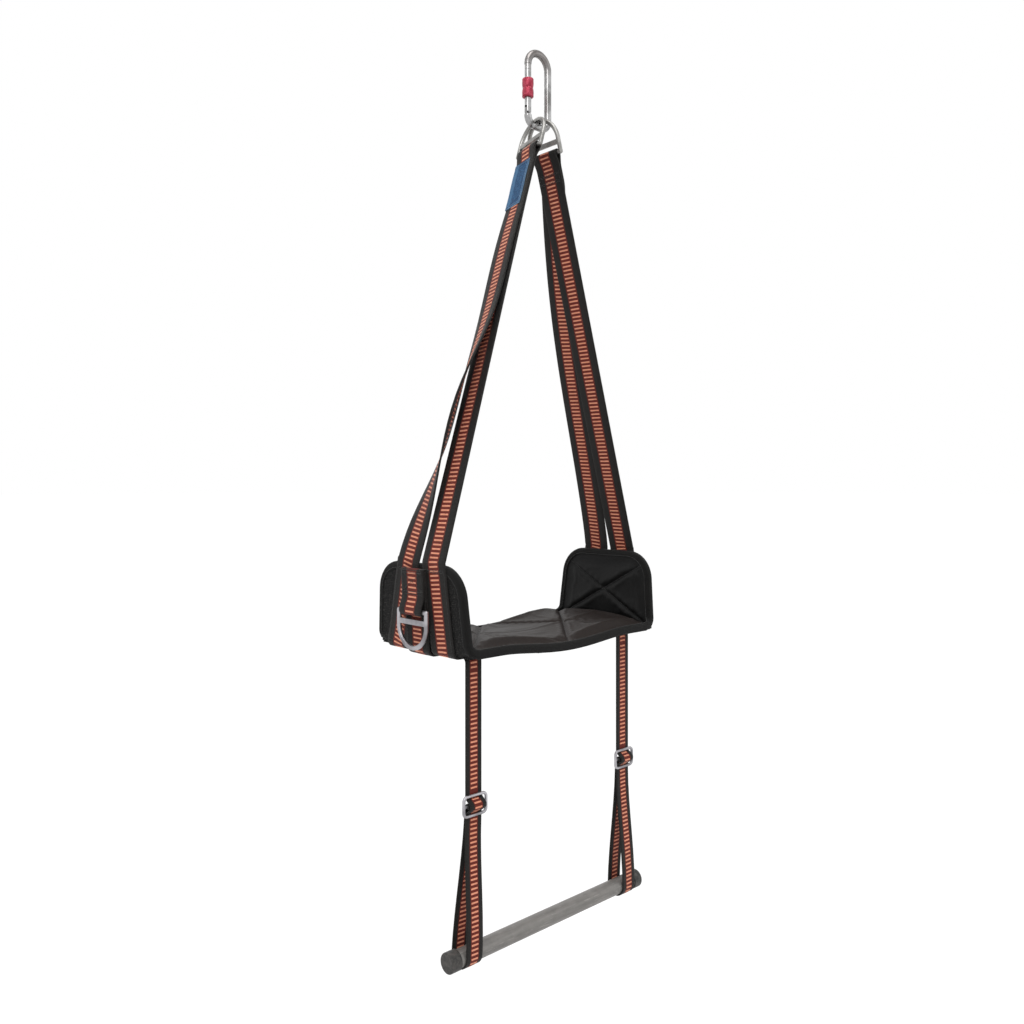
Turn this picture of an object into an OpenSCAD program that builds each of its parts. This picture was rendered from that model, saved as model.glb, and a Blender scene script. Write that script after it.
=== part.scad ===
// Webbing work seat: a padded bucket on flat bands, hung from a screw-gate
// carabiner, with a foot bar on two adjustable straps. Millimetres.
// The origin is the hang eye, inside the carabiner's upper bow. X runs across
// the seat, -Y is the front and +Z is up.

/* [Hanging] */
// Drop from the hang eye to the seat's underside
seat_drop = 794; // [720:1:880]
// How far the seat's middle lies behind the hang eye
seat_setback = 31; // [15:1:45]

/* [Carabiner] */
// Diameter of the carabiner's round stock
stock_d = 10; // [9:0.5:12]
// Height of the eye inside the carabiner
eye_h = 90; // [84:1:110]
// Width of the eye inside the carabiner
eye_w = 28; // [26:1:40]
// Straight length of the carabiner's lower bow
basket_l = 14; // [13.5:0.5:17]
// Diameter of the gate and of the nose that it meets
gate_d = 9; // [8:0.5:9]
// Length of the nose that the locking sleeve covers
nose_l = 8; // [6:0.5:10]
// Diameter of the gate's pivot pin
gate_pin_d = 3; // [2:0.25:3.5]
// Thickness of the tongue that the gate straddles
tongue_t = 4; // [3:0.25:4.5]
// Outside diameter of the locking sleeve
sleeve_d = 16; // [14:0.5:18]
// Length of the locking sleeve
sleeve_l = 26; // [18:1:27]
// Drop from the hang eye to the sleeve's top edge
sleeve_drop = 34; // [30:1:36]
// Diameter of the plunger inside the gate
plunger_d = 3.6; // [3:0.2:4]
// Length of the plunger inside the gate
plunger_l = 8; // [6:0.5:10]
// Wire of the coil spring inside the gate
spring_wire_d = 0.5; // [0.4:0.05:0.6]
// Length of the coil spring inside the gate
spring_l = 10; // [9:0.5:12]
// Number of curls in the gate's spring
spring_curls = 7; // [5:1:8]

/* [Rings] */
// Diameter of the rings' steel wire
ring_wire_d = 6; // [5:0.5:6.5]
// Clear width inside a ring
ring_inside_w = 50; // [48:1:56]
// Height of a ring from its bar to its bow, between wire middles
ring_h = 46; // [44:1:54]
// Height of the cross-piece over the bar, middle to middle
ring_cross_h = 13.5; // [12.5:0.5:16]
// Width of the flat cross-piece
ring_cross_w = 6.5; // [4:0.5:6.5]
// Thickness of the flat cross-piece
ring_cross_t = 4; // [3:0.5:5]
// Turn of the left top ring about its leg, front edge outwards, in degrees
ring_turn_left = 12; // [0:1:15]
// Turn of the right top ring about its leg, front edge inwards, in degrees
ring_turn_right = 2; // [0:1:15]

/* [Webbing] */
// Width of the hanging bands
band_w = 45; // [38:1:46]
// Thickness of the hanging bands
band_t = 2.4; // [2:0.1:2.6]
// Spread of the front and rear bands from the middle at a flap's top
spread_top = 26; // [26:0.5:34]
// Spread of the front and rear bands from the middle under the seat
spread_low = 46; // [46:0.5:54]
// Length below the left ring where its two layers are sewn together
sewn_left = 88; // [88:1:110]
// Length below the right ring where its two layers are sewn together
sewn_right = 40; // [30:1:110]
// How far the left side's bands lean to the front at the flap's top
lead_left = 9; // [0:0.5:12]
// How far the left side's slack rear band bows outwards
rear_bow_left = 12; // [12:0.5:18]
// How far the right side's rear band bows outwards
rear_bow_right = 4; // [4:0.5:14]
// How far the right side's rear band bows to the rear
rear_fan = 15; // [0:0.5:20]
// How far the left side's slack rear band is drawn forward
rear_pull = 20; // [0:0.5:20]
// Twist of the left side's slack rear band, in degrees
rear_twist = 40; // [0:1:40]
// Length of the patches over the bands' joints under the seat
patch_l = 70; // [50:1:90]
// Width of the foot straps
foot_band_w = 26; // [20:1:28]
// Thickness of the foot straps
foot_band_t = 2; // [1.6:0.1:2.2]

/* [Label] */
// Length of the blank label on the left leg
label_l = 67; // [40:1:68]
// Width of the label on each face of the band, from the rear edge that it wraps
label_w = 36; // [28:1:40]
// Thickness of the label's cloth
label_t = 0.8; // [0.6:0.1:1.2]

/* [Seat] */
// Width over the flaps' outer faces at the seat's underside
seat_w = 353; // [330:1:400]
// Depth of the seat and flaps, front to rear
seat_depth = 188; // [172:1:200]
// How far the middle of the seat sags
seat_sag = 8; // [0:0.5:12]
// Thickness of the covers under the seat and outside the flaps
cover_t = 1.5; // [1:0.1:2]
// Thickness of the stiffening board
board_t = 4; // [3:0.5:6]
// Thickness of the cushions at their bound edges
pad_edge_t = 6; // [5:0.5:8]
// Rise of the seat cushion over its edge
seat_crown = 12; // [6:0.5:16]
// Depth of the sewn channels in the seat cushion
seat_channel = 7; // [2:0.5:7]
// Width of the binding tape over each face
binding_w = 10; // [8:0.5:12]
// Thickness of the binding tape
binding_t = 1.4; // [1:0.1:1.8]

/* [Flaps] */
// Height of the flaps' top edge over the seat's underside
flap_h = 111; // [100:1:125]
// Outward lean of the flaps, in degrees
flap_lean = 3; // [0:0.5:6]
// Radius of the flaps' top corners
flap_corner_r = 42; // [30:1:48]
// How much nearer to the middle the flaps' front and rear edges lie at the top
flap_taper = 11; // [0:0.5:14]
// Rise of the flap pads over their edge
flap_crown = 8; // [4:0.5:10]
// Depth of the sewn channels in the flap pads
flap_channel = 5; // [2:0.5:5]
// Height of the side rings' bar over the seat's underside
side_ring_h = 52; // [50:1:56]

/* [Foot bar] */
// Drop from the hang eye to the foot bar's axis
bar_drop = 1163; // [1120:1:1220]
// Drop from the hang eye to the buckles' middle bars
buckle_drop = 980; // [950:1:1000]
// How far the foot straps hang in front of the hang eye
strap_forward = 30; // [24:1:34]
// Distance from the tube's ends to the middles of the loops, with the tube centred
loop_inset = 35; // [33:0.5:40]
// How far outwards the left loop's front band stands at the bar
splay_front_left = 9; // [0:0.5:10]
// How far outwards the left loop's rear band stands at the bar
splay_rear_left = 12; // [0:0.5:12]
// How far inwards the right loop's rear band stands at the bar
tuck_rear_right = 4; // [0:0.5:4]
// How far the tube lies to the left in its loops
bar_slide = 6; // [0:0.5:6.5]
// Outside diameter of the foot bar
bar_d = 22; // [18:0.5:25]
// Wall of the foot bar's tube
bar_wall = 3; // [1.5:0.25:3]
// Length of the foot bar's tube
bar_l = 354; // [340:1:370]
// Wall of the end caps
cap_wall = 1.6; // [1:0.1:2.5]
// Length of the end caps
cap_l = 15; // [8:1:17]

/* [Buckles] */
// Diameter of the buckles' wire
buckle_wire_d = 4; // [3.5:0.25:4.5]
// Distance from a buckle's middle bar to its outer bars
buckle_pitch = 12; // [12:0.25:14]
// Clear width inside a buckle
buckle_inside_w = 32; // [30:0.5:38]
// Corner radius of a buckle's wire
buckle_corner_r = 5; // [3:0.5:7]

/* [Hidden] */
$fn = 48;

// Clearances: layers sewn together, fixed fits, and parts that move
lay_gap = 0.1;
fit_gap = 0.05;
run_gap = 0.3;

// Smooth step from 0 to 1
function ramp(t) = t <= 0 ? 0 : t >= 1 ? 1 : t * t * (3 - 2 * t);
function unit(v) = v / norm(v);
function mix(a, b, t) = a + (b - a) * t;
function flip(list) = [for (i = [len(list) - 1:-1:0]) list[i]];

// Carabiner: middle lines of its stock
stock_r = stock_d / 2;
side_x = eye_w / 2 + stock_r;
top_z = stock_r;
basket_z = -eye_h - stock_r;
basket_r = side_x - basket_l / 2;
shoulder_top_z = top_z - side_x;
shoulder_low_z = basket_z + basket_r;
tongue_r = gate_d / 2;
pivot_z = shoulder_low_z + stock_r / 2 + tongue_r;
nose_z = shoulder_top_z - nose_l;
gate_top_z = nose_z - run_gap;
slot_z = pivot_z + tongue_r + run_gap;
sleeve_bore_r = gate_d / 2 + run_gap;
plunger_z = slot_z;
spring_z = plunger_z + plunger_l;

// Rings on the lower bow, and the legs that hang from them
ring_r = ring_wire_d / 2;
ring_half = ring_inside_w / 2 + ring_r;
ring_x = ring_r + run_gap + lay_gap;
bow_z = -eye_h + run_gap + ring_r;

// Flap frame: n outwards, d towards the rear from the middle, h upwards
under_z = -seat_drop;
corner_x = seat_w / 2;
function flap_point(n, d, h) = [
    corner_x + n * cos(flap_lean) + h * sin(flap_lean),
    seat_setback + d,
    under_z + h * cos(flap_lean) - n * sin(flap_lean)
];
band_n = lay_gap + band_t / 2;
layer_n = band_t + lay_gap;

// Leg frame: n outwards, s downwards from the ring's bar
leave_rise = 3;
leave_h = flap_h + leave_rise;
flap_top = flap_point(band_n, 0, leave_h);
leg_lean = atan((flap_top[0] - ring_x) / (bow_z - flap_top[2]));
leg_bar = [ring_x + ring_h * sin(leg_lean), 0, bow_z - ring_h * cos(leg_lean)];
leg_l = (flap_top[0] - leg_bar[0]) * sin(leg_lean) + (leg_bar[2] - flap_top[2]) * cos(leg_lean);
function leg_point(n, y, s, turn = 0) =
    let (a = n * cos(turn) + y * sin(turn), b = y * cos(turn) - n * sin(turn))
    [
        leg_bar[0] + a * cos(leg_lean) + s * sin(leg_lean),
        b,
        leg_bar[2] + a * sin(leg_lean) - s * cos(leg_lean)
    ];
function leg_axis(turn) = [sin(turn) * cos(leg_lean), cos(turn), sin(turn) * sin(leg_lean)];
fold_r = ring_r + lay_gap + band_t / 2;
meet_s = 18;

// Sag of the seat's middle, level where the foot straps are sewn
strap_x = bar_l / 2 - loop_inset;
sag_clear = 8;
sag_half = strap_x - foot_band_w / 2 - sag_clear;
function sag(x) = abs(x) >= sag_half ? 0 : -seat_sag * pow(1 - pow(x / sag_half, 2), 2);

// Seat layers from the underside upwards
board_z = under_z + cover_t + lay_gap;
cushion_z = board_z + board_t + lay_gap;
seat_lip_z = cushion_z + pad_edge_t + lay_gap;
turn_r = 5;
board_clear = 1;
board_half = corner_x - turn_r - board_clear;
flap_foot_h = cushion_z - under_z;
pad_n = -cover_t - lay_gap;
flap_lip_n = pad_n - pad_edge_t - lay_gap;
lip_clear = 3;
cushion_half = corner_x + pad_n - pad_edge_t - flap_crown / 2 - 2 * run_gap;
half_depth = seat_depth / 2;

// Side ring: its bar lies in the tab's fold, clear of the straps behind it
tab_back_n = 2 * layer_n + band_n;
side_bar = flap_point(tab_back_n + fold_r, 0, side_ring_h);

// Foot straps: root under the seat, hinge line, buckles and bar
strap_y = -strap_forward;
root_z = under_z - layer_n - lay_gap - foot_band_t / 2;
root_turn_r = 6;
root_tail = 3;
root_lead = 2;
root_inset = 4;
root_end_z = root_z - root_turn_r - root_tail;
hinge_z = root_end_z - run_gap - foot_band_t / 2;
buckle_z = -buckle_drop;
buckle_r = buckle_wire_d / 2;
buckle_y = strap_y - foot_band_t / 2 - lay_gap - buckle_r;
buckle_half = buckle_inside_w / 2 + buckle_r;
strap_end_z = buckle_z + buckle_pitch + buckle_wire_d;
bar_z = -bar_drop;
wrap_r = bar_d / 2 + run_gap + foot_band_t / 2;
eyelet_r = buckle_r + lay_gap + foot_band_t / 2;
bulge_clear = 1.4;
bulge = eyelet_r + foot_band_t + bulge_clear;
bend_half = 2.5;
bend_lead = 4;

// Flat band swept along a path, its width kept as near to an axis as it goes, or to one for each point
module ribbon(path, axes, width, thick) {
    last = len(path) - 1;
    points = [
        for (k = [0:last])
            let (
                axis = is_list(axes[0]) ? axes[k] : axes,
                along = unit(path[min(k + 1, last)] - path[max(k - 1, 0)]),
                across = unit(axis - (axis * along) * along),
                face = cross(along, across)
            )
            for (corner = [[-1, -1], [1, -1], [1, 1], [-1, 1]])
                path[k] + across * corner[0] * width / 2 + face * corner[1] * thick / 2
    ];
    walls = [
        for (k = [0:last - 1], j = [0:3])
            let (a = 4 * k + j, b = 4 * k + (j + 1) % 4)
            each [[a, a + 4, b + 4], [a, b + 4, b]]
    ];
    end = 4 * last;
    caps = [[0, 1, 2], [0, 2, 3], [end, end + 2, end + 1], [end, end + 3, end + 2]];
    polyhedron(points, concat(walls, caps), convexity = 8);
}

// Round wire swept along a path, with a hint for where its first corner points
module wire(path, radius, sides) {
    last = len(path) - 1;
    points = [
        for (k = [0:last])
            let (
                along = unit(path[min(k + 1, last)] - path[max(k - 1, 0)]),
                across = unit(cross(along, [0.3, 0.2, 1])),
                face = cross(along, across)
            )
            for (j = [0:sides - 1])
                path[k] + radius * (across * cos(360 * j / sides) + face * sin(360 * j / sides))
    ];
    walls = [
        for (k = [0:last - 1], j = [0:sides - 1])
            let (a = sides * k + j, b = sides * k + (j + 1) % sides)
            each [[a, a + sides, b + sides], [a, b + sides, b]]
    ];
    end = sides * last;
    caps = [for (j = [1:sides - 2]) each [[0, j, j + 1], [end, end + j + 1, end + j]]];
    polyhedron(points, concat(walls, caps), convexity = 10);
}

// Padded sheet between two grids of points, the second one on the outer side
module padded_sheet(low, high) {
    rows = len(low) - 1;
    cols = len(low[0]) - 1;
    wide = cols + 1;
    lift = (rows + 1) * wide;
    points = concat([for (row = low) each row], [for (row = high) each row]);
    skins = [
        for (i = [0:rows - 1], j = [0:cols - 1])
            let (a = i * wide + j, b = a + wide, c = b + 1, d = a + 1)
            each [
                [a, b, c], [a, c, d],
                [lift + a, lift + c, lift + b], [lift + a, lift + d, lift + c]
            ]
    ];
    edge = concat(
        [for (i = [0:rows - 1]) i * wide],
        [for (j = [0:cols - 1]) rows * wide + j],
        [for (i = [rows:-1:1]) i * wide + cols],
        [for (j = [cols:-1:1]) j]
    );
    count = len(edge);
    rim = [
        for (k = [0:count - 1])
            let (a = edge[k], b = edge[(k + 1) % count])
            each [[a, lift + a, lift + b], [a, lift + b, b]]
    ];
    polyhedron(points, concat(skins, rim), convexity = 8);
}

module mirrored(side) {
    if (side < 0)
        mirror([1, 0, 0]) children();
    else
        children();
}

module on_flap() {
    translate([corner_x, seat_setback, under_z]) rotate([0, flap_lean, 0]) children();
}

module on_leg(turn) {
    translate(leg_bar) rotate([0, -leg_lean, 0]) rotate([0, 0, -turn]) children();
}

// Quarter or half ring of round stock in the XZ plane
module bow(radius, stock_radius, from, sweep) {
    rotate([90, 0, 0])
        rotate([0, 0, from])
            rotate_extrude(angle = sweep) translate([radius, 0]) circle(stock_radius);
}

// Carabiner
module post(x, low, high, radius) {
    translate([x, 0, low]) cylinder(h = high - low, r = radius);
}

module carabiner_frame() {
    color("silver") difference() {
        union() {
            translate([0, 0, shoulder_top_z]) bow(side_x, stock_r, 0, 180);
            post(side_x, shoulder_low_z, shoulder_top_z, stock_r);
            post(-side_x, nose_z, shoulder_top_z, gate_d / 2);
            for (turn = [-1, 1])
                translate([turn * basket_l / 2, 0, shoulder_low_z])
                    bow(basket_r, stock_r, turn < 0 ? 180 : 270, 90);
            translate([-basket_l / 2, 0, basket_z])
                rotate([0, 90, 0]) cylinder(h = basket_l, r = stock_r);
            intersection() {
                post(-side_x, shoulder_low_z, pivot_z + tongue_r, tongue_r);
                union() {
                    translate([-side_x, tongue_t / 2, pivot_z])
                        rotate([90, 0, 0]) cylinder(h = tongue_t, r = tongue_r);
                    translate([-side_x - stock_r, -tongue_t / 2, shoulder_low_z - 1])
                        cube([stock_d, tongue_t, pivot_z - shoulder_low_z + 1]);
                }
            }
        }
        translate([-side_x, stock_r, pivot_z])
            rotate([90, 0, 0]) cylinder(h = stock_d, d = gate_pin_d + 2 * fit_gap);
    }
}

module gate_pin() {
    color("gray")
        translate([-side_x, gate_d / 2 - run_gap, pivot_z])
            rotate([90, 0, 0]) cylinder(h = gate_d - 2 * run_gap, d = gate_pin_d);
}

module carabiner_gate() {
    ear_end_z = pivot_z - tongue_r;
    color("gainsboro") difference() {
        union() {
            post(-side_x, pivot_z, gate_top_z, gate_d / 2);
            intersection() {
                post(-side_x, ear_end_z, pivot_z, gate_d / 2);
                translate([-side_x, gate_d / 2, pivot_z])
                    rotate([90, 0, 0]) cylinder(h = gate_d, r = tongue_r);
            }
        }
        translate([-side_x - gate_d, -tongue_t / 2 - run_gap, ear_end_z - 1])
            cube([2 * gate_d, tongue_t + 2 * run_gap, slot_z - ear_end_z + 1]);
        translate([-side_x, gate_d, pivot_z])
            rotate([90, 0, 0]) cylinder(h = 2 * gate_d, d = gate_pin_d + 2 * fit_gap);
        post(-side_x, slot_z - 1, spring_z + spring_l + 2 * fit_gap, plunger_d / 2 + fit_gap);
    }
}

module gate_plunger() {
    color("gray") post(-side_x, plunger_z, plunger_z + plunger_l, plunger_d / 2);
}

spring_mean_r = plunger_d / 2 - spring_wire_d / 2 - fit_gap;
spring_rise = (spring_l - 2 * spring_wire_d) / spring_curls;
spring_path = [
    for (i = [0:8 * spring_curls])
        [
            -side_x + spring_mean_r * cos(45 * i),
            spring_mean_r * sin(45 * i),
            spring_z + spring_wire_d + spring_rise * i / 8
        ]
];
spring_gap = min([
    for (i = [0:len(spring_path) - 1], j = [i + 5:1:len(spring_path) - 1])
        norm(spring_path[i] - spring_path[j])
]) - spring_wire_d;
echo(least_gap_in_gate_spring = spring_gap);

module gate_spring() {
    color("dimgray") wire(spring_path, spring_wire_d / 2, 6);
}

// Two swells with a waist, and a bevelled rim at each end
module locking_sleeve() {
    swell = sleeve_d / 2;
    waist = swell - 1.5;
    rim = swell - 1;
    bevel = 0.5;
    color("crimson")
        translate([-side_x, 0, -sleeve_drop - sleeve_l])
            rotate_extrude()
                polygon([
                    [sleeve_bore_r, 0], [rim - bevel, 0], [rim, bevel], [swell, sleeve_l * 0.12],
                    [swell, sleeve_l * 0.36], [waist, sleeve_l * 0.45], [waist, sleeve_l * 0.55],
                    [swell, sleeve_l * 0.64], [swell, sleeve_l * 0.88], [rim, sleeve_l - bevel],
                    [rim - bevel, sleeve_l], [sleeve_bore_r, sleeve_l]
                ]);
}

// Rings with a straight bar, a cross-piece and a round bow. The bar is the
// origin, the bow points up +Z and the bar lies along Y.
module ring() {
    bow_mid = ring_h - ring_half;
    translate([0, 0, bow_mid]) rotate([0, 0, 90]) bow(ring_half, ring_r, 0, 180);
    for (end = [-1, 1])
        translate([0, end * ring_half, 0]) {
            cylinder(h = bow_mid, r = ring_r);
            sphere(ring_r);
        }
    translate([0, -ring_half, 0]) rotate([-90, 0, 0]) cylinder(h = 2 * ring_half, r = ring_r);
    translate([-ring_cross_t / 2, -ring_half, ring_cross_h - ring_cross_w / 2])
        cube([ring_cross_t, 2 * ring_half, ring_cross_w]);
}

module top_ring(side) {
    color("lightgray") mirrored(side) on_leg(side < 0 ? -ring_turn_left : ring_turn_right) ring();
}

module side_ring(side) {
    color("lightgray") mirrored(side) translate(side_bar) rotate([180, 0, 0]) ring();
}

// Hanging bands: under the seat, up the flap, over the ring's bar and back
corner_mid = [corner_x - turn_r * (1 - sin(flap_lean)) / cos(flap_lean), under_z + turn_r];
function under_path(y, drop) = [
    for (i = [0:9])
        let (x = mix(lay_gap / 2, corner_mid[0] - root_lead, i / 9))
        [x, y, under_z + sag(x) - drop]
];
function corner_path(y, drop) = [
    for (i = [0:6])
        let (a = mix(-90, -flap_lean, i / 6))
        [corner_mid[0] + (turn_r + drop) * cos(a), y, corner_mid[1] + (turn_r + drop) * sin(a)]
];
function spread(h) = mix(spread_low, spread_top, h / flap_h);
function up_flap(way, lead) = concat(
    under_path(seat_setback + way * spread_low, band_n),
    corner_path(seat_setback + way * spread_low, band_n),
    [
        for (h = [for (i = [1:6]) mix(turn_r, flap_h, i / 6), leave_h])
            flap_point(band_n, way * spread(h) - lead * h / flap_h, h)
    ]
);
function stations(points, axis) = [for (p = points) [p, axis]];
// Shares of a band's slack along its free length: nearer its foot, nearer its top, and in one bulge
low_skew = 0.7;
high_skew = 1.4;
bulge_mid = 0.46;
bulge_reach = 0.18;
function slack(t) = sin(180 * pow(t, low_skew));
function fan(t) = sin(180 * pow(t, high_skew));
function bulge_share(t) = exp(-pow((t - bulge_mid) / bulge_reach, 2));
function up_leg(way, layer, turn, sewn, lead, bow_out = 0, bulge_out = 0, aft = 0, pull = 0, twist = 0) = [
    for (i = [1:14])
        let (
            t = i / 15,
            out = bow_out * slack(t) + bulge_out * bulge_share(t),
            foot_y = seat_setback + way * spread(leave_h) - lead * leave_h / flap_h,
            aside = foot_y * (1 - t) + aft * fan(t) - pull * pow(sin(180 * t), 2),
            p = leg_point(layer * t, 0, mix(leg_l, sewn, t), turn * t)
        )
        [
            p + [out * cos(leg_lean), aside, out * sin(leg_lean)],
            leg_axis(turn * t - twist * pow(slack(t), 4))
        ]
];
function sewn_leg(layer, turn, sewn) = stations(concat(
    [for (i = [0:4]) leg_point(layer, 0, mix(sewn, meet_s, i / 4), turn)],
    [
        for (i = [1:4])
            leg_point(mix(layer, sign(layer) * fold_r, ramp(i / 5)), 0, mix(meet_s, 0, i / 5), turn)
    ]
), leg_axis(turn));
function bar_fold(turn) = stations(
    [for (a = [0:20:180]) leg_point(fold_r * cos(a), 0, -fold_r * sin(a), turn)], leg_axis(turn)
);
half_layer = layer_n / 2;
function hanger_stations(turn, sewn, lead, bow_out, bulge_out, aft, pull, twist) = concat(
    stations(up_flap(-1, lead), [0, 1, 0]),
    up_leg(-1, -half_layer, turn, sewn, lead),
    sewn_leg(-half_layer, turn, sewn),
    flip(bar_fold(turn)),
    flip(sewn_leg(half_layer, turn, sewn)),
    flip(up_leg(1, half_layer, turn, sewn, lead, bow_out, bulge_out, aft, pull, twist)),
    stations(flip(up_flap(1, lead)), [0, 1, 0])
);

module hanger_strap(side) {
    left = hanger_stations(
        -ring_turn_left, sewn_left, lead_left, layer_n, rear_bow_left, 0, rear_pull, rear_twist
    );
    right = hanger_stations(ring_turn_right, sewn_right, 0, rear_bow_right, 0, rear_fan, 0, 0);
    path = side < 0 ? left : right;
    color("black") mirrored(side)
        ribbon([for (q = path) q[0]], [for (q = path) q[1]], band_w, band_t);
}

// Label folded round the band's rear edge and sewn down on both faces
module label() {
    half_t = layer_n / 2 + band_t / 2 + lay_gap;
    half_w = band_w / 2 + lay_gap;
    color("steelblue") mirrored(-1) on_leg(-ring_turn_left)
        translate([0, half_w - label_w, -meet_s - label_l])
            difference() {
                translate([-half_t - label_t, 0, 0])
                    cube([2 * (half_t + label_t), label_w + label_t, label_l]);
                translate([-half_t, -1, -1]) cube([2 * half_t, label_w + 1, label_l + 2]);
            }
}

// Patches sewn over the joints in the middle, under the seat
module splice_patch(way) {
    low = -layer_n - lay_gap - band_t;
    color("black") sag_slab(patch_l / 2, way * spread_low - band_w / 2, way * spread_low + band_w / 2,
        under_z + low, under_z - layer_n - lay_gap);
}

// Seat: slabs that follow the sag, given across the depth from its middle
module sag_slab(half, front, rear, low, high) {
    steps = 24;
    xs = [for (i = [0:steps]) mix(-half, half, i / steps)];
    translate([0, seat_setback + rear, 0])
        rotate([90, 0, 0])
            linear_extrude(rear - front)
                polygon(concat(
                    [for (x = xs) [x, low + sag(x)]],
                    [for (x = flip(xs)) [x, high + sag(x)]]
                ));
}

module seat_cover() {
    inset = half_depth - binding_w - lay_gap;
    color("black") sag_slab(corner_x - turn_r, -inset, inset, under_z, under_z + cover_t);
}

module seat_board() {
    inset = half_depth - binding_t - lay_gap;
    color("burlywood") sag_slab(board_half, -inset, inset, board_z, board_z + board_t);
}

module seat_binding(way) {
    outer = way * half_depth;
    inner = way * (half_depth - binding_w);
    wall = way * (half_depth - binding_t);
    color("black") {
        sag_slab(board_half, min(outer, inner), max(outer, inner), under_z, board_z - lay_gap);
        sag_slab(board_half, min(outer, wall), max(outer, wall), under_z, cushion_z - lay_gap);
        sag_slab(cushion_half, min(outer, wall), max(outer, wall), under_z, seat_lip_z + binding_t);
        sag_slab(cushion_half, min(outer, inner), max(outer, inner), seat_lip_z, seat_lip_z + binding_t);
    }
}

// Sewn diagonals of a cell: how near a point is to the cross through its middle
function cross_groove(a, b, half_a, half_b, width) =
    let (k = half_a / half_b, off = abs(abs(a) - k * abs(b)) / sqrt(1 + k * k))
    exp(-pow(off / width, 2));

function seat_rise(x, d) =
    let (
        roll = 24,
        cell = cushion_half / 2,
        rise = ramp((cushion_half - abs(x)) / roll) * ramp((half_depth - binding_w - abs(d)) / roll),
        groove = cross_groove(abs(x) - cell, d, cell, half_depth - binding_w, 6)
    )
    rise * (seat_crown - seat_channel * groove);

module seat_cushion() {
    cols = 40;
    rows = 14;
    inset = half_depth - binding_t - lay_gap;
    rim = half_depth - binding_w;
    ds = concat([-inset], [for (i = [0:rows - 2]) mix(-rim, rim, i / (rows - 2))], [inset]);
    xs = [for (i = [0:cols]) mix(-cushion_half, cushion_half, i / cols)];
    low = [for (x = xs) [for (d = ds) [x, seat_setback + d, cushion_z + sag(x)]]];
    high = [
        for (x = xs)
            [for (d = ds) [x, seat_setback + d, cushion_z + sag(x) + pad_edge_t + seat_rise(x, d)]]
    ];
    color("#3c3835") padded_sheet(low, high);
}

// Flaps: outline with slanted edges and two round top corners, standing on its foot, in d and h
taper = flap_taper / flap_h;
function corner_r(inset) = flap_corner_r - inset;
corner_h = flap_h - flap_corner_r;
function edge_d(inset, h) = half_depth - inset - taper * h;
function corner_d(inset) = edge_d(inset, corner_h) - corner_r(inset) * sqrt(1 + taper * taper);

module flap_outline(inset, foot) {
    hull()
        for (way = [-1, 1]) {
            translate([way * corner_d(inset), corner_h]) circle(corner_r(inset));
            polygon([[0, foot], [way * edge_d(inset, foot), foot], [0, foot + 1]]);
        }
}

// Slab of the flap's outline between two depths, seen along n
module flap_slab(inset, foot, n_low, n_high) {
    on_flap()
        translate([n_low, 0, 0])
            rotate([90, 0, 90]) linear_extrude(n_high - n_low) flap_outline(inset, foot);
}

module flap_cover(side) {
    color("#1c1c1c") mirrored(side)
        flap_slab(binding_w + lay_gap, flap_foot_h, -cover_t, 0);
}

module flap_binding(side) {
    color("black") mirrored(side) difference() {
        flap_slab(0, flap_foot_h, flap_lip_n - binding_t, 0);
        flap_slab(binding_w, 0, flap_lip_n - binding_t - 1, 1);
        flap_slab(binding_t, 0, flap_lip_n, -cover_t);
    }
}

// Half depth of the flap pad at a height
function pad_half(h, inset) =
    let (r = corner_r(inset), over = h - corner_h)
    over <= r * sin(atan(taper)) ? edge_d(inset, h) : corner_d(inset) + sqrt(max(0, r * r - over * over));

function flap_rise(d, h, half) =
    let (
        roll = 20,
        top = flap_h - binding_w - lip_clear,
        mid = (top + flap_foot_h) / 2,
        rise = ramp((half - abs(d)) / roll) * ramp((top - h) / roll) * ramp((h - flap_foot_h + 6) / roll),
        groove = cross_groove(d, h - mid, half_depth - binding_w, top - mid, 5)
    )
    rise * (flap_crown - flap_channel * groove);

module flap_pad(side) {
    cols = 20;
    rows = 16;
    inset = binding_t + lay_gap;
    edge_clear = 0.6;
    top = flap_h - inset - edge_clear;
    rim = flap_h - binding_w;
    hs = concat([for (i = [0:rows - 1]) mix(flap_foot_h, rim, i / (rows - 1))], [top]);
    low = [
        for (i = [0:cols])
            [for (h = hs) flap_point(pad_n, mix(1, -1, i / cols) * pad_half(h, inset), h)]
    ];
    high = [
        for (i = [0:cols])
            [
                for (h = hs)
                    let (
                        d = mix(1, -1, i / cols) * pad_half(h, inset),
                        bound = pad_half(min(h, rim), binding_w + lip_clear)
                    )
                    flap_point(pad_n - pad_edge_t - flap_rise(d, h, bound), d, h)
            ]
    ];
    color("#2b2826") mirrored(side) padded_sheet(low, high);
}

// Middle band over the flap, from its top round the corner to the seat's middle
module ring_strap(side) {
    over_n = layer_n + band_n;
    step_in = 40;
    top_inset = 6;
    start_x = corner_mid[0] - step_in;
    path = concat(
        [for (x = [lay_gap / 2 : start_x / 9 : start_x]) [x, seat_setback, under_z + sag(x) - band_n]],
        [
            for (i = [1:3])
                let (x = mix(start_x, corner_mid[0], i / 4))
                [x, seat_setback, under_z - mix(band_n, over_n, ramp(i / 3))]
        ],
        corner_path(seat_setback, over_n),
        [for (i = [1:5]) flap_point(over_n, 0, mix(turn_r, flap_h - top_inset, i / 5))]
    );
    color("black") mirrored(side) ribbon(path, [0, 1, 0], band_w, band_t);
}

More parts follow.
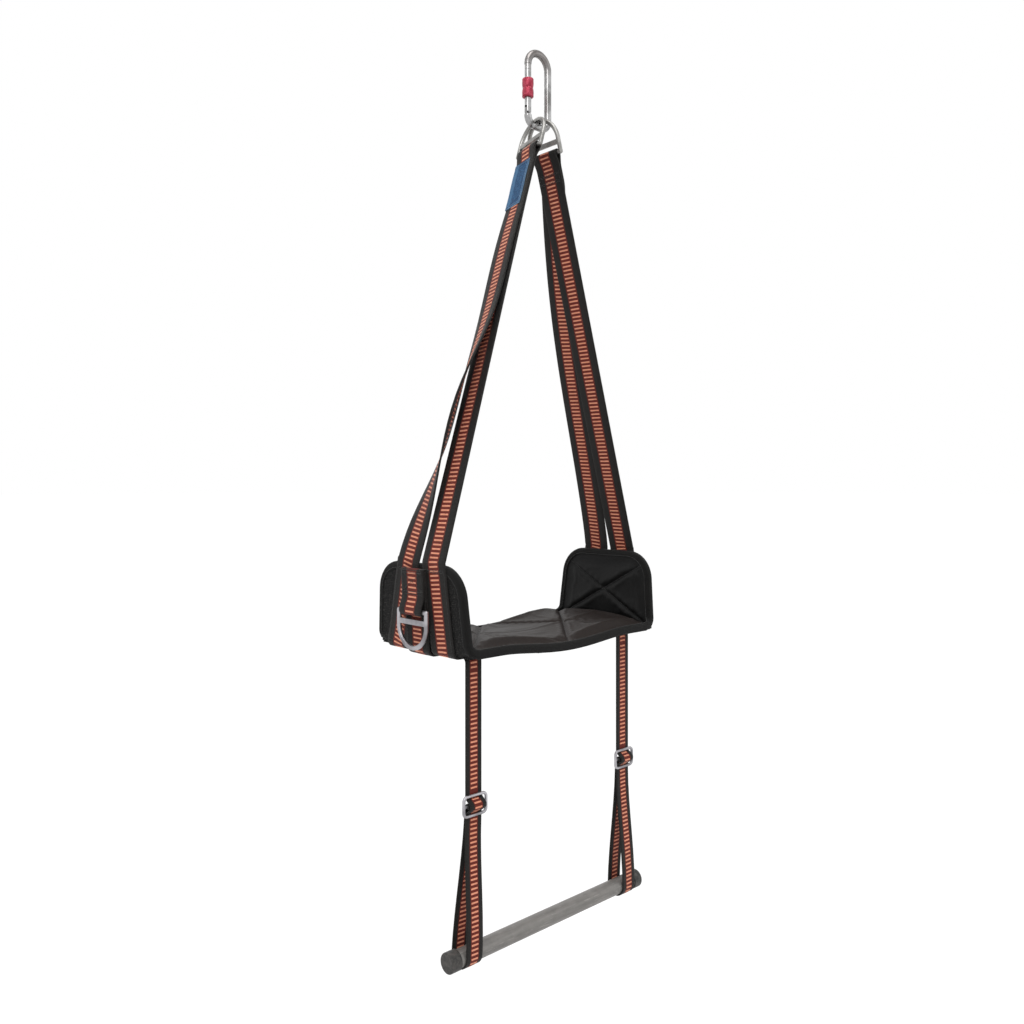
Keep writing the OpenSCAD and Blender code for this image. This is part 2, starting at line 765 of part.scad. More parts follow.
// Folded tab that carries the side ring, sewn to the middle band
module ring_tab(side) {
    front_n = tab_back_n + layer_n;
    bar_n = tab_back_n + fold_r;
    tab_inset = 6;
    meet_rise = 20;
    tab_top = flap_h - tab_inset;
    meet_h = side_ring_h + meet_rise;
    path = concat(
        [for (i = [0:4]) flap_point(tab_back_n, 0, mix(tab_top, side_ring_h, i / 4))],
        [
            for (a = [200:20:360])
                flap_point(bar_n + fold_r * cos(a), 0, side_ring_h + fold_r * sin(a))
        ],
        [
            for (i = [1:5])
                flap_point(mix(bar_n + fold_r, front_n, ramp(i / 5)), 0, mix(side_ring_h, meet_h, i / 5))
        ],
        [for (i = [1:3]) flap_point(front_n, 0, mix(meet_h, tab_top, i / 3))]
    );
    color("black") mirrored(side) ribbon(path, [0, 1, 0], band_w, band_t);
}

// Foot straps and loops
module foot_strap_root(side) {
    root_rear = seat_setback - spread_low + band_w / 2 - root_inset;
    path = concat(
        [for (i = [0:3]) [mix(root_rear, strap_y + root_turn_r + root_lead, i / 3), root_z]],
        [
            for (a = [90:15:180])
                [strap_y + root_turn_r + root_turn_r * cos(a), root_z - root_turn_r + root_turn_r * sin(a)]
        ],
        [[strap_y, root_end_z]]
    );
    color("black") mirrored(side)
        ribbon([for (p = path) [strap_x, p[0], p[1]]], [1, 0, 0], foot_band_w, foot_band_t);
}

module foot_strap(side) {
    color("black") mirrored(side) {
        translate([strap_x - foot_band_w / 2, strap_y - foot_band_t / 2, strap_end_z])
            cube([foot_band_w, foot_band_t, hinge_z - strap_end_z]);
        translate([strap_x - foot_band_w / 2, strap_y, hinge_z])
            rotate([0, 90, 0]) cylinder(h = foot_band_w, d = foot_band_t);
    }
}

module foot_loop(side) {
    behind_y = strap_y + foot_band_t + lay_gap;
    front_z = buckle_z - buckle_pitch - bend_lead;
    rear_z = buckle_z - buckle_pitch - bend_lead / 2;
    front = side < 0 ? splay_front_left : 0;
    rear = side < 0 ? splay_rear_left : -tuck_rear_right;
    path = concat(
        [
            [0, strap_y, strap_end_z - lay_gap], [0, strap_y, buckle_z + buckle_pitch - bend_half],
            [0, buckle_y - bulge, buckle_z + bend_half], [0, buckle_y - bulge, buckle_z - bend_half],
            [0, strap_y, buckle_z - buckle_pitch + bend_half], [0, strap_y, front_z]
        ],
        [
            for (i = [1:6])
                [front * i / 7, mix(strap_y, strap_y - wrap_r, ramp(i / 7)), mix(front_z, bar_z, i / 7)]
        ],
        [
            for (a = [180:15:360])
                [mix(front, rear, a / 180 - 1), strap_y + wrap_r * cos(a), bar_z + wrap_r * sin(a)]
        ],
        [
            for (i = [1:6])
                let (t = i / 7)
                [rear * (1 - t), mix(strap_y + wrap_r, behind_y, ramp(t)), mix(bar_z, rear_z, t)]
        ],
        [[0, behind_y, rear_z], [0, behind_y, buckle_z - eyelet_r - bend_lead]],
        [for (a = [0:30:240]) [0, buckle_y + eyelet_r * cos(a), buckle_z + eyelet_r * sin(a)]]
    );
    color("black") mirrored(side)
        ribbon([for (p = path) p + [strap_x, 0, 0]], [1, 0, 0], foot_band_w, foot_band_t);
}

module buckle(side) {
    half_h = buckle_pitch;
    flat_w = 2 * (buckle_half - buckle_corner_r);
    flat_h = 2 * (half_h - buckle_corner_r);
    color("silver") translate([side * strap_x, buckle_y, buckle_z]) {
        for (z = [-half_h, half_h])
            translate([-flat_w / 2, 0, z]) rotate([0, 90, 0]) cylinder(h = flat_w, r = buckle_r);
        for (x = [-buckle_half, buckle_half])
            translate([x, 0, -flat_h / 2]) cylinder(h = flat_h, r = buckle_r);
        for (quarter = [0:3])
            let (a = 45 + 90 * quarter)
            translate([sign(cos(a)) * flat_w / 2, 0, sign(sin(a)) * flat_h / 2])
                bow(buckle_corner_r, buckle_r, 90 * quarter, 90);
        translate([-buckle_half, 0, 0]) rotate([0, 90, 0]) cylinder(h = 2 * buckle_half, r = buckle_r);
    }
}

module along_bar(x) {
    translate([x, strap_y, bar_z]) rotate([0, 90, 0]) children();
}

module foot_bar() {
    color("gray") along_bar(-bar_slide - bar_l / 2)
        difference() {
            cylinder(h = bar_l, d = bar_d);
            translate([0, 0, -1]) cylinder(h = bar_l + 2, d = bar_d - 2 * bar_wall);
        }
}

// Cap over the tube's end, with a rolled rim and a rounded end face
module bar_cap(side) {
    bore_r = bar_d / 2 + fit_gap;
    outer_r = bore_r + cap_wall;
    edge_r = cap_wall;
    color("dimgray") mirrored(side) along_bar(-side * bar_slide + bar_l / 2 - cap_l + cap_wall)
        difference() {
            rotate_extrude()
                union() {
                    square([outer_r, cap_l - edge_r]);
                    translate([0, cap_l - edge_r]) square([outer_r - edge_r, edge_r]);
                    translate([outer_r - edge_r, cap_l - edge_r])
                        intersection() {
                            circle(edge_r);
                            square(edge_r);
                        }
                }
            translate([0, 0, -1]) cylinder(h = cap_l - cap_wall + 1 + fit_gap, r = bore_r);
        }
}

carabiner_frame();
gate_pin();
carabiner_gate();
gate_plunger();
gate_spring();
locking_sleeve();
top_ring(-1);  // top_ring_left
top_ring(1);  // top_ring_right
hanger_strap(-1);  // hanger_strap_left
hanger_strap(1);  // hanger_strap_right
label();
seat_cushion();
seat_board();
seat_cover();
seat_binding(-1);  // seat_binding_front
seat_binding(1);  // seat_binding_rear
splice_patch(-1);  // splice_patch_front
splice_patch(0);  // splice_patch_middle
splice_patch(1);  // splice_patch_rear
flap_pad(-1);  // flap_pad_left
flap_pad(1);  // flap_pad_right
flap_cover(-1);  // flap_cover_left
flap_cover(1);  // flap_cover_right
flap_binding(-1);  // flap_binding_left
flap_binding(1);  // flap_binding_right
ring_strap(-1);  // ring_strap_left
ring_strap(1);  // ring_strap_right
ring_tab(-1);  // ring_tab_left
ring_tab(1);  // ring_tab_right
side_ring(-1);  // side_ring_left
side_ring(1);  // side_ring_right
foot_strap_root(-1);  // foot_strap_root_left
foot_strap_root(1);  // foot_strap_root_right
foot_strap(-1);  // foot_strap_left
foot_strap(1);  // foot_strap_right
buckle(-1);  // buckle_left
buckle(1);  // buckle_right
foot_loop(-1);  // foot_loop_left
foot_loop(1);  // foot_loop_right
foot_bar();
bar_cap(-1);  // bar_cap_left
bar_cap(1);  // bar_cap_right
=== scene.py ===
import math
import bpy
import numpy as np
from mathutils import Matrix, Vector
from mathutils.bvhtree import BVHTree


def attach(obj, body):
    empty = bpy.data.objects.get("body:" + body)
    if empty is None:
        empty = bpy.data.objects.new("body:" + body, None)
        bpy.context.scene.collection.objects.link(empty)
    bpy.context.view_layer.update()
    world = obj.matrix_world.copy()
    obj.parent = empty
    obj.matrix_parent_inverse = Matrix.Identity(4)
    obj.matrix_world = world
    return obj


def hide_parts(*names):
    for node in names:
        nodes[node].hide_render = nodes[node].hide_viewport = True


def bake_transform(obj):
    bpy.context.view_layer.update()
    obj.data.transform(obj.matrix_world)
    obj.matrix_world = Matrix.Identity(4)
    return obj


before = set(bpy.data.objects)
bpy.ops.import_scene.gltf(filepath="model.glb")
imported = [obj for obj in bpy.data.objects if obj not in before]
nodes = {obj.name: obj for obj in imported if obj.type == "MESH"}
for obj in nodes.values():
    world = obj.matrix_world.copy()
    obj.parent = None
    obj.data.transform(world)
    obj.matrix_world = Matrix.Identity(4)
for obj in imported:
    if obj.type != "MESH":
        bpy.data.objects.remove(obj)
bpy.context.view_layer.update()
scene = bpy.context.scene
print("frame loaded:", len(nodes), "solids")


# Node sums: a socket that takes part in Python expressions
class Sock:
    def __init__(self, graph, socket):
        self.graph = graph
        self.socket = socket

    def calc(self, operation, a, b=0.0):
        return self.graph.node("ShaderNodeMath", {"operation": operation}, {0: a, 1: b})

    def __add__(self, other):
        return self.calc("ADD", self, other)

    def __radd__(self, other):
        return self.calc("ADD", other, self)

    def __sub__(self, other):
        return self.calc("SUBTRACT", self, other)

    def __rsub__(self, other):
        return self.calc("SUBTRACT", other, self)

    def __mul__(self, other):
        return self.calc("MULTIPLY", self, other)

    def __rmul__(self, other):
        return self.calc("MULTIPLY", other, self)

    def __truediv__(self, other):
        return self.calc("DIVIDE", self, other)

    def __rtruediv__(self, other):
        return self.calc("DIVIDE", other, self)

    def __neg__(self):
        return self.calc("MULTIPLY", self, -1.0)

    def fract(self):
        return self.calc("FRACT", self)

    def size(self):
        return self.calc("ABSOLUTE", self)

    def wave(self, period):
        return 0.5 + 0.5 * self.calc("SINE", self * (2 * math.pi / period))

    def step(self, low, high):
        return self.graph.node("ShaderNodeMapRange", {"interpolation_type": "SMOOTHSTEP"},
                               {"Value": self, "From Min": low, "From Max": high})

    def largest(self, other):
        return self.calc("MAXIMUM", self, other)


class Graph:
    def __init__(self, tree):
        self.tree = tree

    def node(self, kind, settings=None, sockets=None, out=0):
        made = self.tree.nodes.new(kind)
        for key, value in (settings or {}).items():
            setattr(made, key, value)
        for key, value in (sockets or {}).items():
            self.put(made.inputs[key], value)
        return Sock(self, made.outputs[out]) if made.outputs else None

    def put(self, socket, value):
        if isinstance(value, Sock):
            self.tree.links.new(value.socket, socket)
        else:
            socket.default_value = value


class Finish(Graph):
    def __init__(self, name):
        self.material = bpy.data.materials.new(name)
        self.material.use_nodes = True
        super().__init__(self.material.node_tree)
        self.shader = self.tree.nodes["Principled BSDF"]

    def parts(self, vector):
        split = self.node("ShaderNodeSeparateXYZ", None, {0: vector}).socket.node
        return [Sock(self, split.outputs[i]) for i in range(3)]

    def place(self):
        return self.node("ShaderNodeTexCoord", out="Object")

    def layout(self, name):
        return self.node("ShaderNodeUVMap", {"uv_map": name})

    def stretch(self, vector, scale):
        return self.node("ShaderNodeMapping", None, {"Vector": vector, "Scale": scale})

    def cloud(self, vector, scale, detail=3.0, rough=0.55):
        return self.node("ShaderNodeTexNoise", None,
                         {"Vector": vector, "Scale": scale, "Detail": detail, "Roughness": rough})

    def cells(self, vector, scale):
        return self.node("ShaderNodeTexVoronoi", None, {"Vector": vector, "Scale": scale})

    def blendColour(self, share, a, b):
        return self.node("ShaderNodeMix", {"data_type": "RGBA"}, {0: share, 6: a, 7: b}, out=2)

    def bump(self, height, distance, strength=1.0):
        return self.node("ShaderNodeBump", None,
                         {"Strength": strength, "Distance": distance, "Height": height})

    def surface(self, sockets):
        for key, value in sockets.items():
            self.put(self.shader.inputs[key], value)
        return self.material


def paint(red, green, blue):
    def linear(level):
        level /= 255
        return level / 12.92 if level <= 0.04045 else ((level + 0.055) / 1.055) ** 2.4
    return (linear(red), linear(green), linear(blue), 1.0)


# Webbing: black cross ribs, with a dark red trough down the middle for the orange floats.
# Shader lengths are in metres, the floats' sizes in millimetres
webbing = dict(orange=paint(250, 178, 146), orangeDeep=paint(238, 138, 100), gap=paint(122, 38, 24),
               gapDeep=paint(84, 22, 13), black=paint(27, 24, 22), blackDeep=paint(10, 9, 8),
               blackWorn=paint(54, 47, 42), rib=0.0017, thread=0.0011, floatThread=0.0010, softEdge=0.0004,
               bandLadder=20.4, footLadder=13.2, period=5.5, run=3.7, rise=0.25, sway=0.02,
               endClear=2)


def webbingFinish(name, ladder):
    f = Finish(name)
    uv = f.layout("strap")
    u, v, _ = f.parts(uv)
    half, edge = ladder / 2000, webbing["softEdge"]
    inLadder = 1 - u.size().step(half - edge, half + edge)
    threads = u.wave(webbing["thread"])
    rib = v.wave(webbing["rib"])
    fade = f.cloud(uv, 28.0, 4.0)
    yarn = f.cloud(f.stretch(uv, (2200, 260, 1)), 1.0, 2.0)
    trough = f.blendColour(threads * 0.6 + fade * 0.4, webbing["gapDeep"], webbing["gap"])
    dark = f.blendColour(rib * 0.6 + yarn * 0.5, webbing["blackDeep"], webbing["black"])
    dark = f.blendColour(fade.step(0.5, 0.8) * 0.25, dark, webbing["blackWorn"])
    colour = f.blendColour(inLadder, dark, trough)
    height = (1 - inLadder) * rib * 0.7 + inLadder * threads * 0.3 + yarn * 0.25
    return f.surface({"Base Color": colour, "Roughness": 0.62 + 0.2 * yarn, "Sheen Weight": 0.12,
                      "Sheen Roughness": 0.4, "Specular IOR Level": 0.3, "Normal": f.bump(height, 0.0005)})


def floatFinish():
    f = Finish("orangeFloat")
    uv = f.layout("unit")
    u, _, _ = f.parts(uv)
    place = f.place()
    threads = u.wave(webbing["floatThread"])
    fade = f.cloud(place, 24.0, 4.0)
    yarn = f.cloud(f.stretch(uv, (300, 2600, 1)), 1.0, 2.0)
    grime = f.cloud(place, 90.0, 4.0).step(0.55, 0.8)
    colour = f.blendColour(threads * 0.3 + yarn * 0.3 + fade * 0.4, webbing["orangeDeep"], webbing["orange"])
    colour = f.blendColour(grime * 0.2, colour, webbing["gap"])
    return f.surface({"Base Color": colour, "Roughness": 0.55 + 0.2 * yarn, "Sheen Weight": 0.15,
                      "Specular IOR Level": 0.3, "Normal": f.bump(threads * 0.5 + yarn * 0.4, 0.0003)})


def vinylFinish(name, deep, top):
    f = Finish(name)
    place = f.place()
    grain = f.cells(place, 900.0)
    pore = f.cloud(place, 420.0, 3.0)
    worn = f.cloud(place, 9.0, 4.0)
    crease = f.cloud(f.stretch(place, (40, 70, 60)), 1.0, 5.0, 0.65)
    dust = f.cloud(place, 34.0, 5.0, 0.7).step(0.58, 0.85)
    colour = f.blendColour(worn, deep, top)
    colour = f.blendColour(grain * 0.3, colour, deep)
    colour = f.blendColour(dust * 0.2, colour, top)
    return f.surface({"Base Color": colour, "Roughness": 0.46 + 0.2 * worn + 0.08 * pore,
                      "Specular IOR Level": 0.2,
                      "Normal": f.bump(grain * 0.35 + pore * 0.25 + crease * 1.6, 0.0006, 0.7)})


# Spacer mesh: rows of small round holes, every other row set over by half
spacer = dict(pitch=0.0026, rowStep=0.866, holeIn=0.22, holeOut=0.36, deep=paint(18, 18, 18),
              top=paint(32, 32, 32), fleck=paint(124, 121, 118), hole=paint(10, 10, 10))


def meshFinish():
    f = Finish("spacerMesh")
    uv = f.layout("cloth")
    u, v, _ = f.parts(uv)
    rows = v / (spacer["pitch"] * spacer["rowStep"])
    odd = (rows * 0.5).fract().step(0.499, 0.501)
    across = ((u / spacer["pitch"]) + odd * 0.5).fract() - 0.5
    along = (rows.fract() - 0.5) * spacer["rowStep"]
    reach = f.node("ShaderNodeMath", {"operation": "SQRT"}, {0: across * across + along * along})
    hole = 1 - reach.step(spacer["holeIn"], spacer["holeOut"])
    speck = f.cloud(uv, 800.0, 2.0).step(0.54, 0.66)
    fuzz = f.cloud(uv, 60.0, 4.0)
    cloth = f.blendColour(fuzz, spacer["deep"], spacer["top"])
    cloth = f.blendColour(speck * (1 - hole) * 0.5, cloth, spacer["fleck"])
    colour = f.blendColour(hole, cloth, spacer["hole"])
    return f.surface({"Base Color": colour, "Roughness": 0.85, "Specular IOR Level": 0.2,
                      "Normal": f.bump((1 - hole) + speck * 0.2, 0.0007)})


tapeWeave = dict(rib=0.0014, deep=paint(9, 9, 9), top=paint(24, 23, 22))


def tapeFinish():
    f = Finish("bindingTape")
    uv = f.layout("tape")
    _, v, _ = f.parts(uv)
    rib = v.wave(tapeWeave["rib"])
    fuzz = f.cloud(uv, 700.0, 3.0)
    wear = f.cloud(uv, 22.0, 3.0)
    colour = f.blendColour(rib * 0.5 + wear * 0.4, tapeWeave["deep"], tapeWeave["top"])
    return f.surface({"Base Color": colour, "Roughness": 0.75 + 0.15 * fuzz, "Sheen Weight": 0.05,
                      "Specular IOR Level": 0.18, "Normal": f.bump(rib * 0.6 + fuzz * 0.5, 0.0004)})


# Steel; an optional darker colour is painted shade, a dark reflection painted onto the bow above the given
# heights
bowShade = dict(low=-0.034, high=0.002, share=0.75)


def steelFinish(name, dull, bright, rough, scale=None):
    f = Finish(name)
    place = f.place()
    stain = f.cloud(place, 38.0, 3.0)
    pits = f.cloud(place, 700.0, 2.0)
    scratch = f.cloud(f.stretch(place, (900, 900, 60)), 1.0, 2.0)
    scuff = f.cloud(place, 120.0, 3.0, 0.6).step(0.55, 0.8)
    colour = f.blendColour(stain.step(0.3, 0.7), dull, bright)
    colour = f.blendColour(scuff * 0.3, colour, dull)
    # painted shade: the colour given as scale darkens the bow above these heights and stands in for a dark
    # reflection
    if scale:
        _, _, z = f.parts(place)
        colour = f.blendColour(z.step(bowShade["low"], bowShade["high"]) * bowShade["share"], colour, scale)
    return f.surface({"Base Color": colour, "Metallic": 1.0,
                      "Roughness": rough + 0.16 * stain + 0.1 * scratch + 0.1 * scuff,
                      "Normal": f.bump(pits * 0.2 + stain * 0.5, 0.00004, 0.25)})


sleeveDye = dict(deep=paint(150, 36, 58), worn=paint(192, 78, 98))


def sleeveFinish():
    f = Finish("redAnodised")
    place = f.place()
    wear = f.cloud(place, 160.0, 4.0)
    colour = f.blendColour(wear.step(0.35, 0.75), sleeveDye["deep"], sleeveDye["worn"])
    return f.surface({"Base Color": colour, "Metallic": 0.5, "Roughness": 0.32 + 0.2 * wear,
                      "Normal": f.bump(f.cloud(place, 1200.0), 0.0002, 0.5)})


barCoat = dict(deep=paint(78, 76, 74), top=paint(158, 155, 151), scuff=paint(176, 173, 168))


def barFinish():
    f = Finish("dullTube")
    place = f.place()
    streak = f.cloud(f.stretch(place, (18, 240, 240)), 1.0, 5.0)
    mottle = f.cloud(place, 70.0, 5.0, 0.65)
    scuff = f.cloud(f.stretch(place, (60, 600, 600)), 1.0, 2.0).step(0.62, 0.72)
    colour = f.blendColour(streak * 0.6 + mottle * 0.5, barCoat["deep"], barCoat["top"])
    colour = f.blendColour(scuff * 0.4, colour, barCoat["scuff"])
    return f.surface({"Base Color": colour, "Metallic": 0.3, "Roughness": 0.42 + 0.2 * mottle,
                      "Normal": f.bump(mottle + streak * 0.5, 0.0003, 0.6)})


capRubber = dict(deep=paint(24, 23, 21), top=paint(78, 75, 72))


def capFinish():
    f = Finish("greyCap")
    place = f.place()
    mottle = f.cloud(place, 160.0, 4.0)
    colour = f.blendColour(mottle.step(0.3, 0.7), capRubber["deep"], capRubber["top"])
    return f.surface({"Base Color": colour, "Roughness": 0.45 + 0.2 * mottle,
                      "Normal": f.bump(f.cloud(place, 1500.0, 2.0), 0.0002, 0.6)})


# Blank label: coated cloth with a paler fold along one edge, and near its foot a dark line of painted shade
# for a crease
labelCloth = dict(weave=0.0009, deep=paint(8, 46, 84), top=paint(62, 106, 146), pale=paint(84, 126, 164),
                  crease=paint(18, 48, 84), hem=paint(124, 158, 190), paleFrom=(0.011, 0.0135),
                  sideHem=(0.0116, 0.0126), footHem=(0.0650, 0.0660), creaseAt=0.0590, creaseSlope=0.3,
                  creaseHalf=(0.0006, 0.0016))


def labelFinish():
    f = Finish("blueLabel")
    uv = f.layout("label")
    u, v, _ = f.parts(uv)
    weave = u.wave(labelCloth["weave"]) * 0.5 + v.wave(labelCloth["weave"]) * 0.5
    fade = f.cloud(uv, 55.0, 4.0)
    pale = (-u).step(*labelCloth["paleFrom"]) * 0.7 + fade * 0.1
    hem = u.step(*labelCloth["sideHem"]).largest(v.step(*labelCloth["footHem"]))
    # painted shade: a darker slanting line where the label is creased; the crease has no relief of its own
    crease = (u * labelCloth["creaseSlope"] + v - labelCloth["creaseAt"]).size()
    crease = 1 - crease.step(*labelCloth["creaseHalf"])
    slub = f.cloud(f.stretch(uv, (240, 520, 1)), 1.0, 3.0).step(0.42, 0.62)
    colour = f.blendColour(fade * 0.3 + slub * 0.7, labelCloth["deep"], labelCloth["top"])
    colour = f.blendColour(pale, colour, labelCloth["pale"])
    colour = f.blendColour(crease * 0.6, colour, labelCloth["crease"])
    colour = f.blendColour(hem * 0.6, colour, labelCloth["hem"])
    return f.surface({"Base Color": colour, "Roughness": 0.6 + 0.15 * fade, "Specular IOR Level": 0.25,
                      "Normal": f.bump(weave * 0.5 + fade * 1.2, 0.0004, 0.7)})


def threadFinish(name, deep, top):
    f = Finish(name)
    place = f.place()
    twist = f.cloud(place, 1800.0, 2.0)
    colour = f.blendColour(twist, deep, top)
    return f.surface({"Base Color": colour, "Roughness": 0.6 + 0.2 * twist, "Sheen Weight": 0.2,
                      "Normal": f.bump(twist, 0.0002)})


bandCloth = webbingFinish("bandWebbing", webbing["bandLadder"])
footCloth = webbingFinish("footWebbing", webbing["footLadder"])
orangeFloat = floatFinish()
vinyl = vinylFinish("seatVinyl", paint(24, 19, 17), paint(44, 37, 34))
# a darker copy of the same vinyl: painted shade for the flaps, which face away from the light above
flapVinyl = vinylFinish("flapVinyl", paint(12, 12, 12), paint(22, 22, 22))
spacerMesh = meshFinish()
tape = tapeFinish()
# forgedSteel's last colour is painted shade for the top of the carabiner's bow
forgedSteel = steelFinish("forgedSteel", paint(118, 117, 116), paint(188, 188, 188), 0.16,
                          paint(104, 98, 95))
ringSteel = steelFinish("platedRing", paint(132, 130, 134), paint(186, 184, 188), 0.3)
topSteel = steelFinish("dullRing", paint(122, 121, 118), paint(178, 177, 174), 0.28)
redAnodised = sleeveFinish()
dullTube = barFinish()
greyCap = capFinish()
blueLabel = labelFinish()
darkThread = threadFinish("darkThread", paint(10, 10, 10), paint(30, 29, 28))
paleThread = threadFinish("paleThread", paint(78, 116, 156), paint(140, 168, 196))
print("finishes made")


# The chair's frame of sizes in millimetres, as the solids have them
chair = dict(seatDrop=794, setback=31, seatWidth=353, depth=188, sag=8, sagClear=8, cover=1.5, board=4,
             padEdge=6, tapeWidth=10, tapeThick=1.4, flapHeight=111, flapLean=math.radians(3), flapCorner=42,
             flapCrown=8, flapChannel=5, flapTaper=11, lipClear=3, layGap=0.1, runGap=0.3, turn=5)
band = dict(width=45, thick=2.4, spreadTop=26, spreadLow=46, sewn={"left": 88, "right": 40}, patch=70,
            lead={"left": 9, "right": 0}, leave=3, meet=18, buttGap=0.05, climb=40, topInset=6, tabMeet=20,
            tabTrim=64, steps=30, lowSkew=0.7, highSkew=1.4, bulgeMid=0.46, bulgeReach=0.18,
            rear={"left": (2.5, 12, 0, 20, math.radians(40)), "right": (4, 0, 15, 0, 0)})
ring = dict(turn={"left": math.radians(-12), "right": math.radians(2)}, wire=6, height=46, eye=90, sideH=52)
foot = dict(width=26, thick=2, barLength=354, loopInset=35, forward=30, buckleDrop=980, barDrop=1163,
            barDiameter=22, buckleWire=4, bucklePitch=12, turn=6, cover=1.4, rootInset=4, rootTail=3, lap=5,
            hingeEase=4, bend=2.5, below=4, behindBelow=2, easeTop=18, easeLow=14,
            splay={"left": (9, 12), "right": (0, -4)})

halfDepth = chair["depth"] / 2
underZ = -chair["seatDrop"]
cornerX = chair["seatWidth"] / 2
bandN = chair["layGap"] + band["thick"] / 2
layerN = band["thick"] + chair["layGap"]
boardZ = underZ + chair["cover"] + chair["layGap"]
cushionZ = boardZ + chair["board"] + chair["layGap"]
flapFoot = cushionZ - underZ
padN = -chair["cover"] - chair["layGap"]
flapLipN = padN - chair["padEdge"] - chair["layGap"]
cushionHalf = cornerX + padN - chair["padEdge"] - chair["flapCrown"] / 2 - 2 * chair["runGap"]
leanSin, leanCos = math.sin(chair["flapLean"]), math.cos(chair["flapLean"])
strapX = foot["barLength"] / 2 - foot["loopInset"]
strapY = -foot["forward"]
buckleZ = -foot["buckleDrop"]
barZ = -foot["barDrop"]
rootZ = underZ - layerN - chair["layGap"] - foot["thick"] / 2
rootEndZ = rootZ - foot["turn"] - foot["rootTail"]
hingeZ = rootEndZ - chair["runGap"] - foot["thick"] / 2
buckleY = strapY - foot["thick"] / 2 - chair["layGap"] - foot["buckleWire"] / 2
strapEndZ = buckleZ + foot["bucklePitch"] + foot["buckleWire"]


def ramp(t):
    t = np.clip(t, 0, 1)
    return t * t * (3 - 2 * t)


def mix(a, b, t):
    return a + (b - a) * t


# Flap coordinates: n out of the flap, d along its depth, h up from the seat's underside
def flapPoint(n, d, h, side=1):
    return np.stack([side * (cornerX + n * leanCos + h * leanSin), chair["setback"] + d,
                     underZ + h * leanCos - n * leanSin], -1)


sagHalf = strapX - foot["width"] / 2 - chair["sagClear"]

# The flaps' slanted edges and round corners: half depth at a height
taper = chair["flapTaper"] / chair["flapHeight"]
cornerH = chair["flapHeight"] - chair["flapCorner"]


def edgeD(inset, h):
    return halfDepth - inset - taper * h


def cornerD(inset):
    return edgeD(inset, cornerH) - (chair["flapCorner"] - inset) * math.hypot(1, taper)


def padHalf(h, inset):
    r = chair["flapCorner"] - inset
    over = h - cornerH
    curve = cornerD(inset) + np.sqrt(np.maximum(0, r * r - np.maximum(over, 0) ** 2))
    return np.where(over <= r * math.sin(math.atan(taper)), edgeD(inset, h), curve)


def sag(x):
    share = np.clip(np.abs(x) / sagHalf, 0, 1)
    return np.where(np.abs(x) >= sagHalf, 0.0, -chair["sag"] * (1 - share ** 2) ** 2)


# Leg frame, from the ring's bar down to the flap's top
leaveH = chair["flapHeight"] + band["leave"]
flapTop = flapPoint(bandN, 0, leaveH)
ringR = ring["wire"] / 2
ringX = ringR + chair["runGap"] + chair["layGap"]
bowZ = -ring["eye"] + chair["runGap"] + ringR
legLean = math.atan((flapTop[0] - ringX) / (bowZ - flapTop[2]))
legSin, legCos = math.sin(legLean), math.cos(legLean)
legBar = np.array([ringX + ring["height"] * legSin, 0, bowZ - ring["height"] * legCos])
legLength = (flapTop[0] - legBar[0]) * legSin + (legBar[2] - flapTop[2]) * legCos
foldR = ringR + chair["layGap"] + band["thick"] / 2


def legPoint(n, y, s, turn=0.0):
    a, b = n * math.cos(turn) + y * math.sin(turn), y * math.cos(turn) - n * math.sin(turn)
    return np.array([legBar[0] + a * legCos + s * legSin, b, legBar[2] + a * legSin - s * legCos])


def legAxis(turn):
    return np.array([math.sin(turn) * legCos, math.cos(turn), math.sin(turn) * legSin])


def legOut(turn):
    return np.array([math.cos(turn) * legCos, -math.sin(turn), math.cos(turn) * legSin])


def meshPiece(name, points, faces, finish, uvName=None, uv=None, smooth=50):
    mesh = bpy.data.meshes.new(name)
    mesh.from_pydata([tuple(p) for p in np.asarray(points) * 0.001], [], faces)
    if uvName:
        layer = mesh.uv_layers.new(name=uvName)
        layer.data.foreach_set("uv", np.asarray(uv, np.float32).ravel() * 0.001)
    mesh.validate()
    mesh.shade_smooth()
    if smooth:
        mesh.set_sharp_from_angle(angle=math.radians(smooth))
    mesh.materials.append(finish)
    piece = bpy.data.objects.new(name, mesh)
    scene.collection.objects.link(piece)
    return piece


# Even steps along a line, closer where it bends; corners eased by a short running mean.
# Columns after the first three are carried along
def easedPath(points, step=5.0, bend=10.0, ease=4):
    points = np.asarray(points, float)
    length = np.concatenate([[0], np.cumsum(np.linalg.norm(np.diff(points[:, :3], axis=0), axis=1))])
    fine = np.linspace(0, length[-1], max(8, int(length[-1] / 0.8)))
    dense = np.column_stack([np.interp(fine, length, column) for column in points.T])
    for _ in range(ease):
        dense[1:-1] = 0.25 * dense[:-2] + 0.5 * dense[1:-1] + 0.25 * dense[2:]
    along = np.diff(dense[:, :3], axis=0)
    run = np.linalg.norm(along, axis=1)
    along /= run[:, None]
    turn = np.degrees(np.arccos(np.clip((along[1:] * along[:-1]).sum(1), -1, 1)))
    cost = np.concatenate([[0], np.cumsum(run / step + np.concatenate([[0], turn]) / bend)])
    at = np.linspace(0, cost[-1], max(3, int(cost[-1]) + 2))
    return np.column_stack([np.interp(at, cost, column) for column in dense.T])


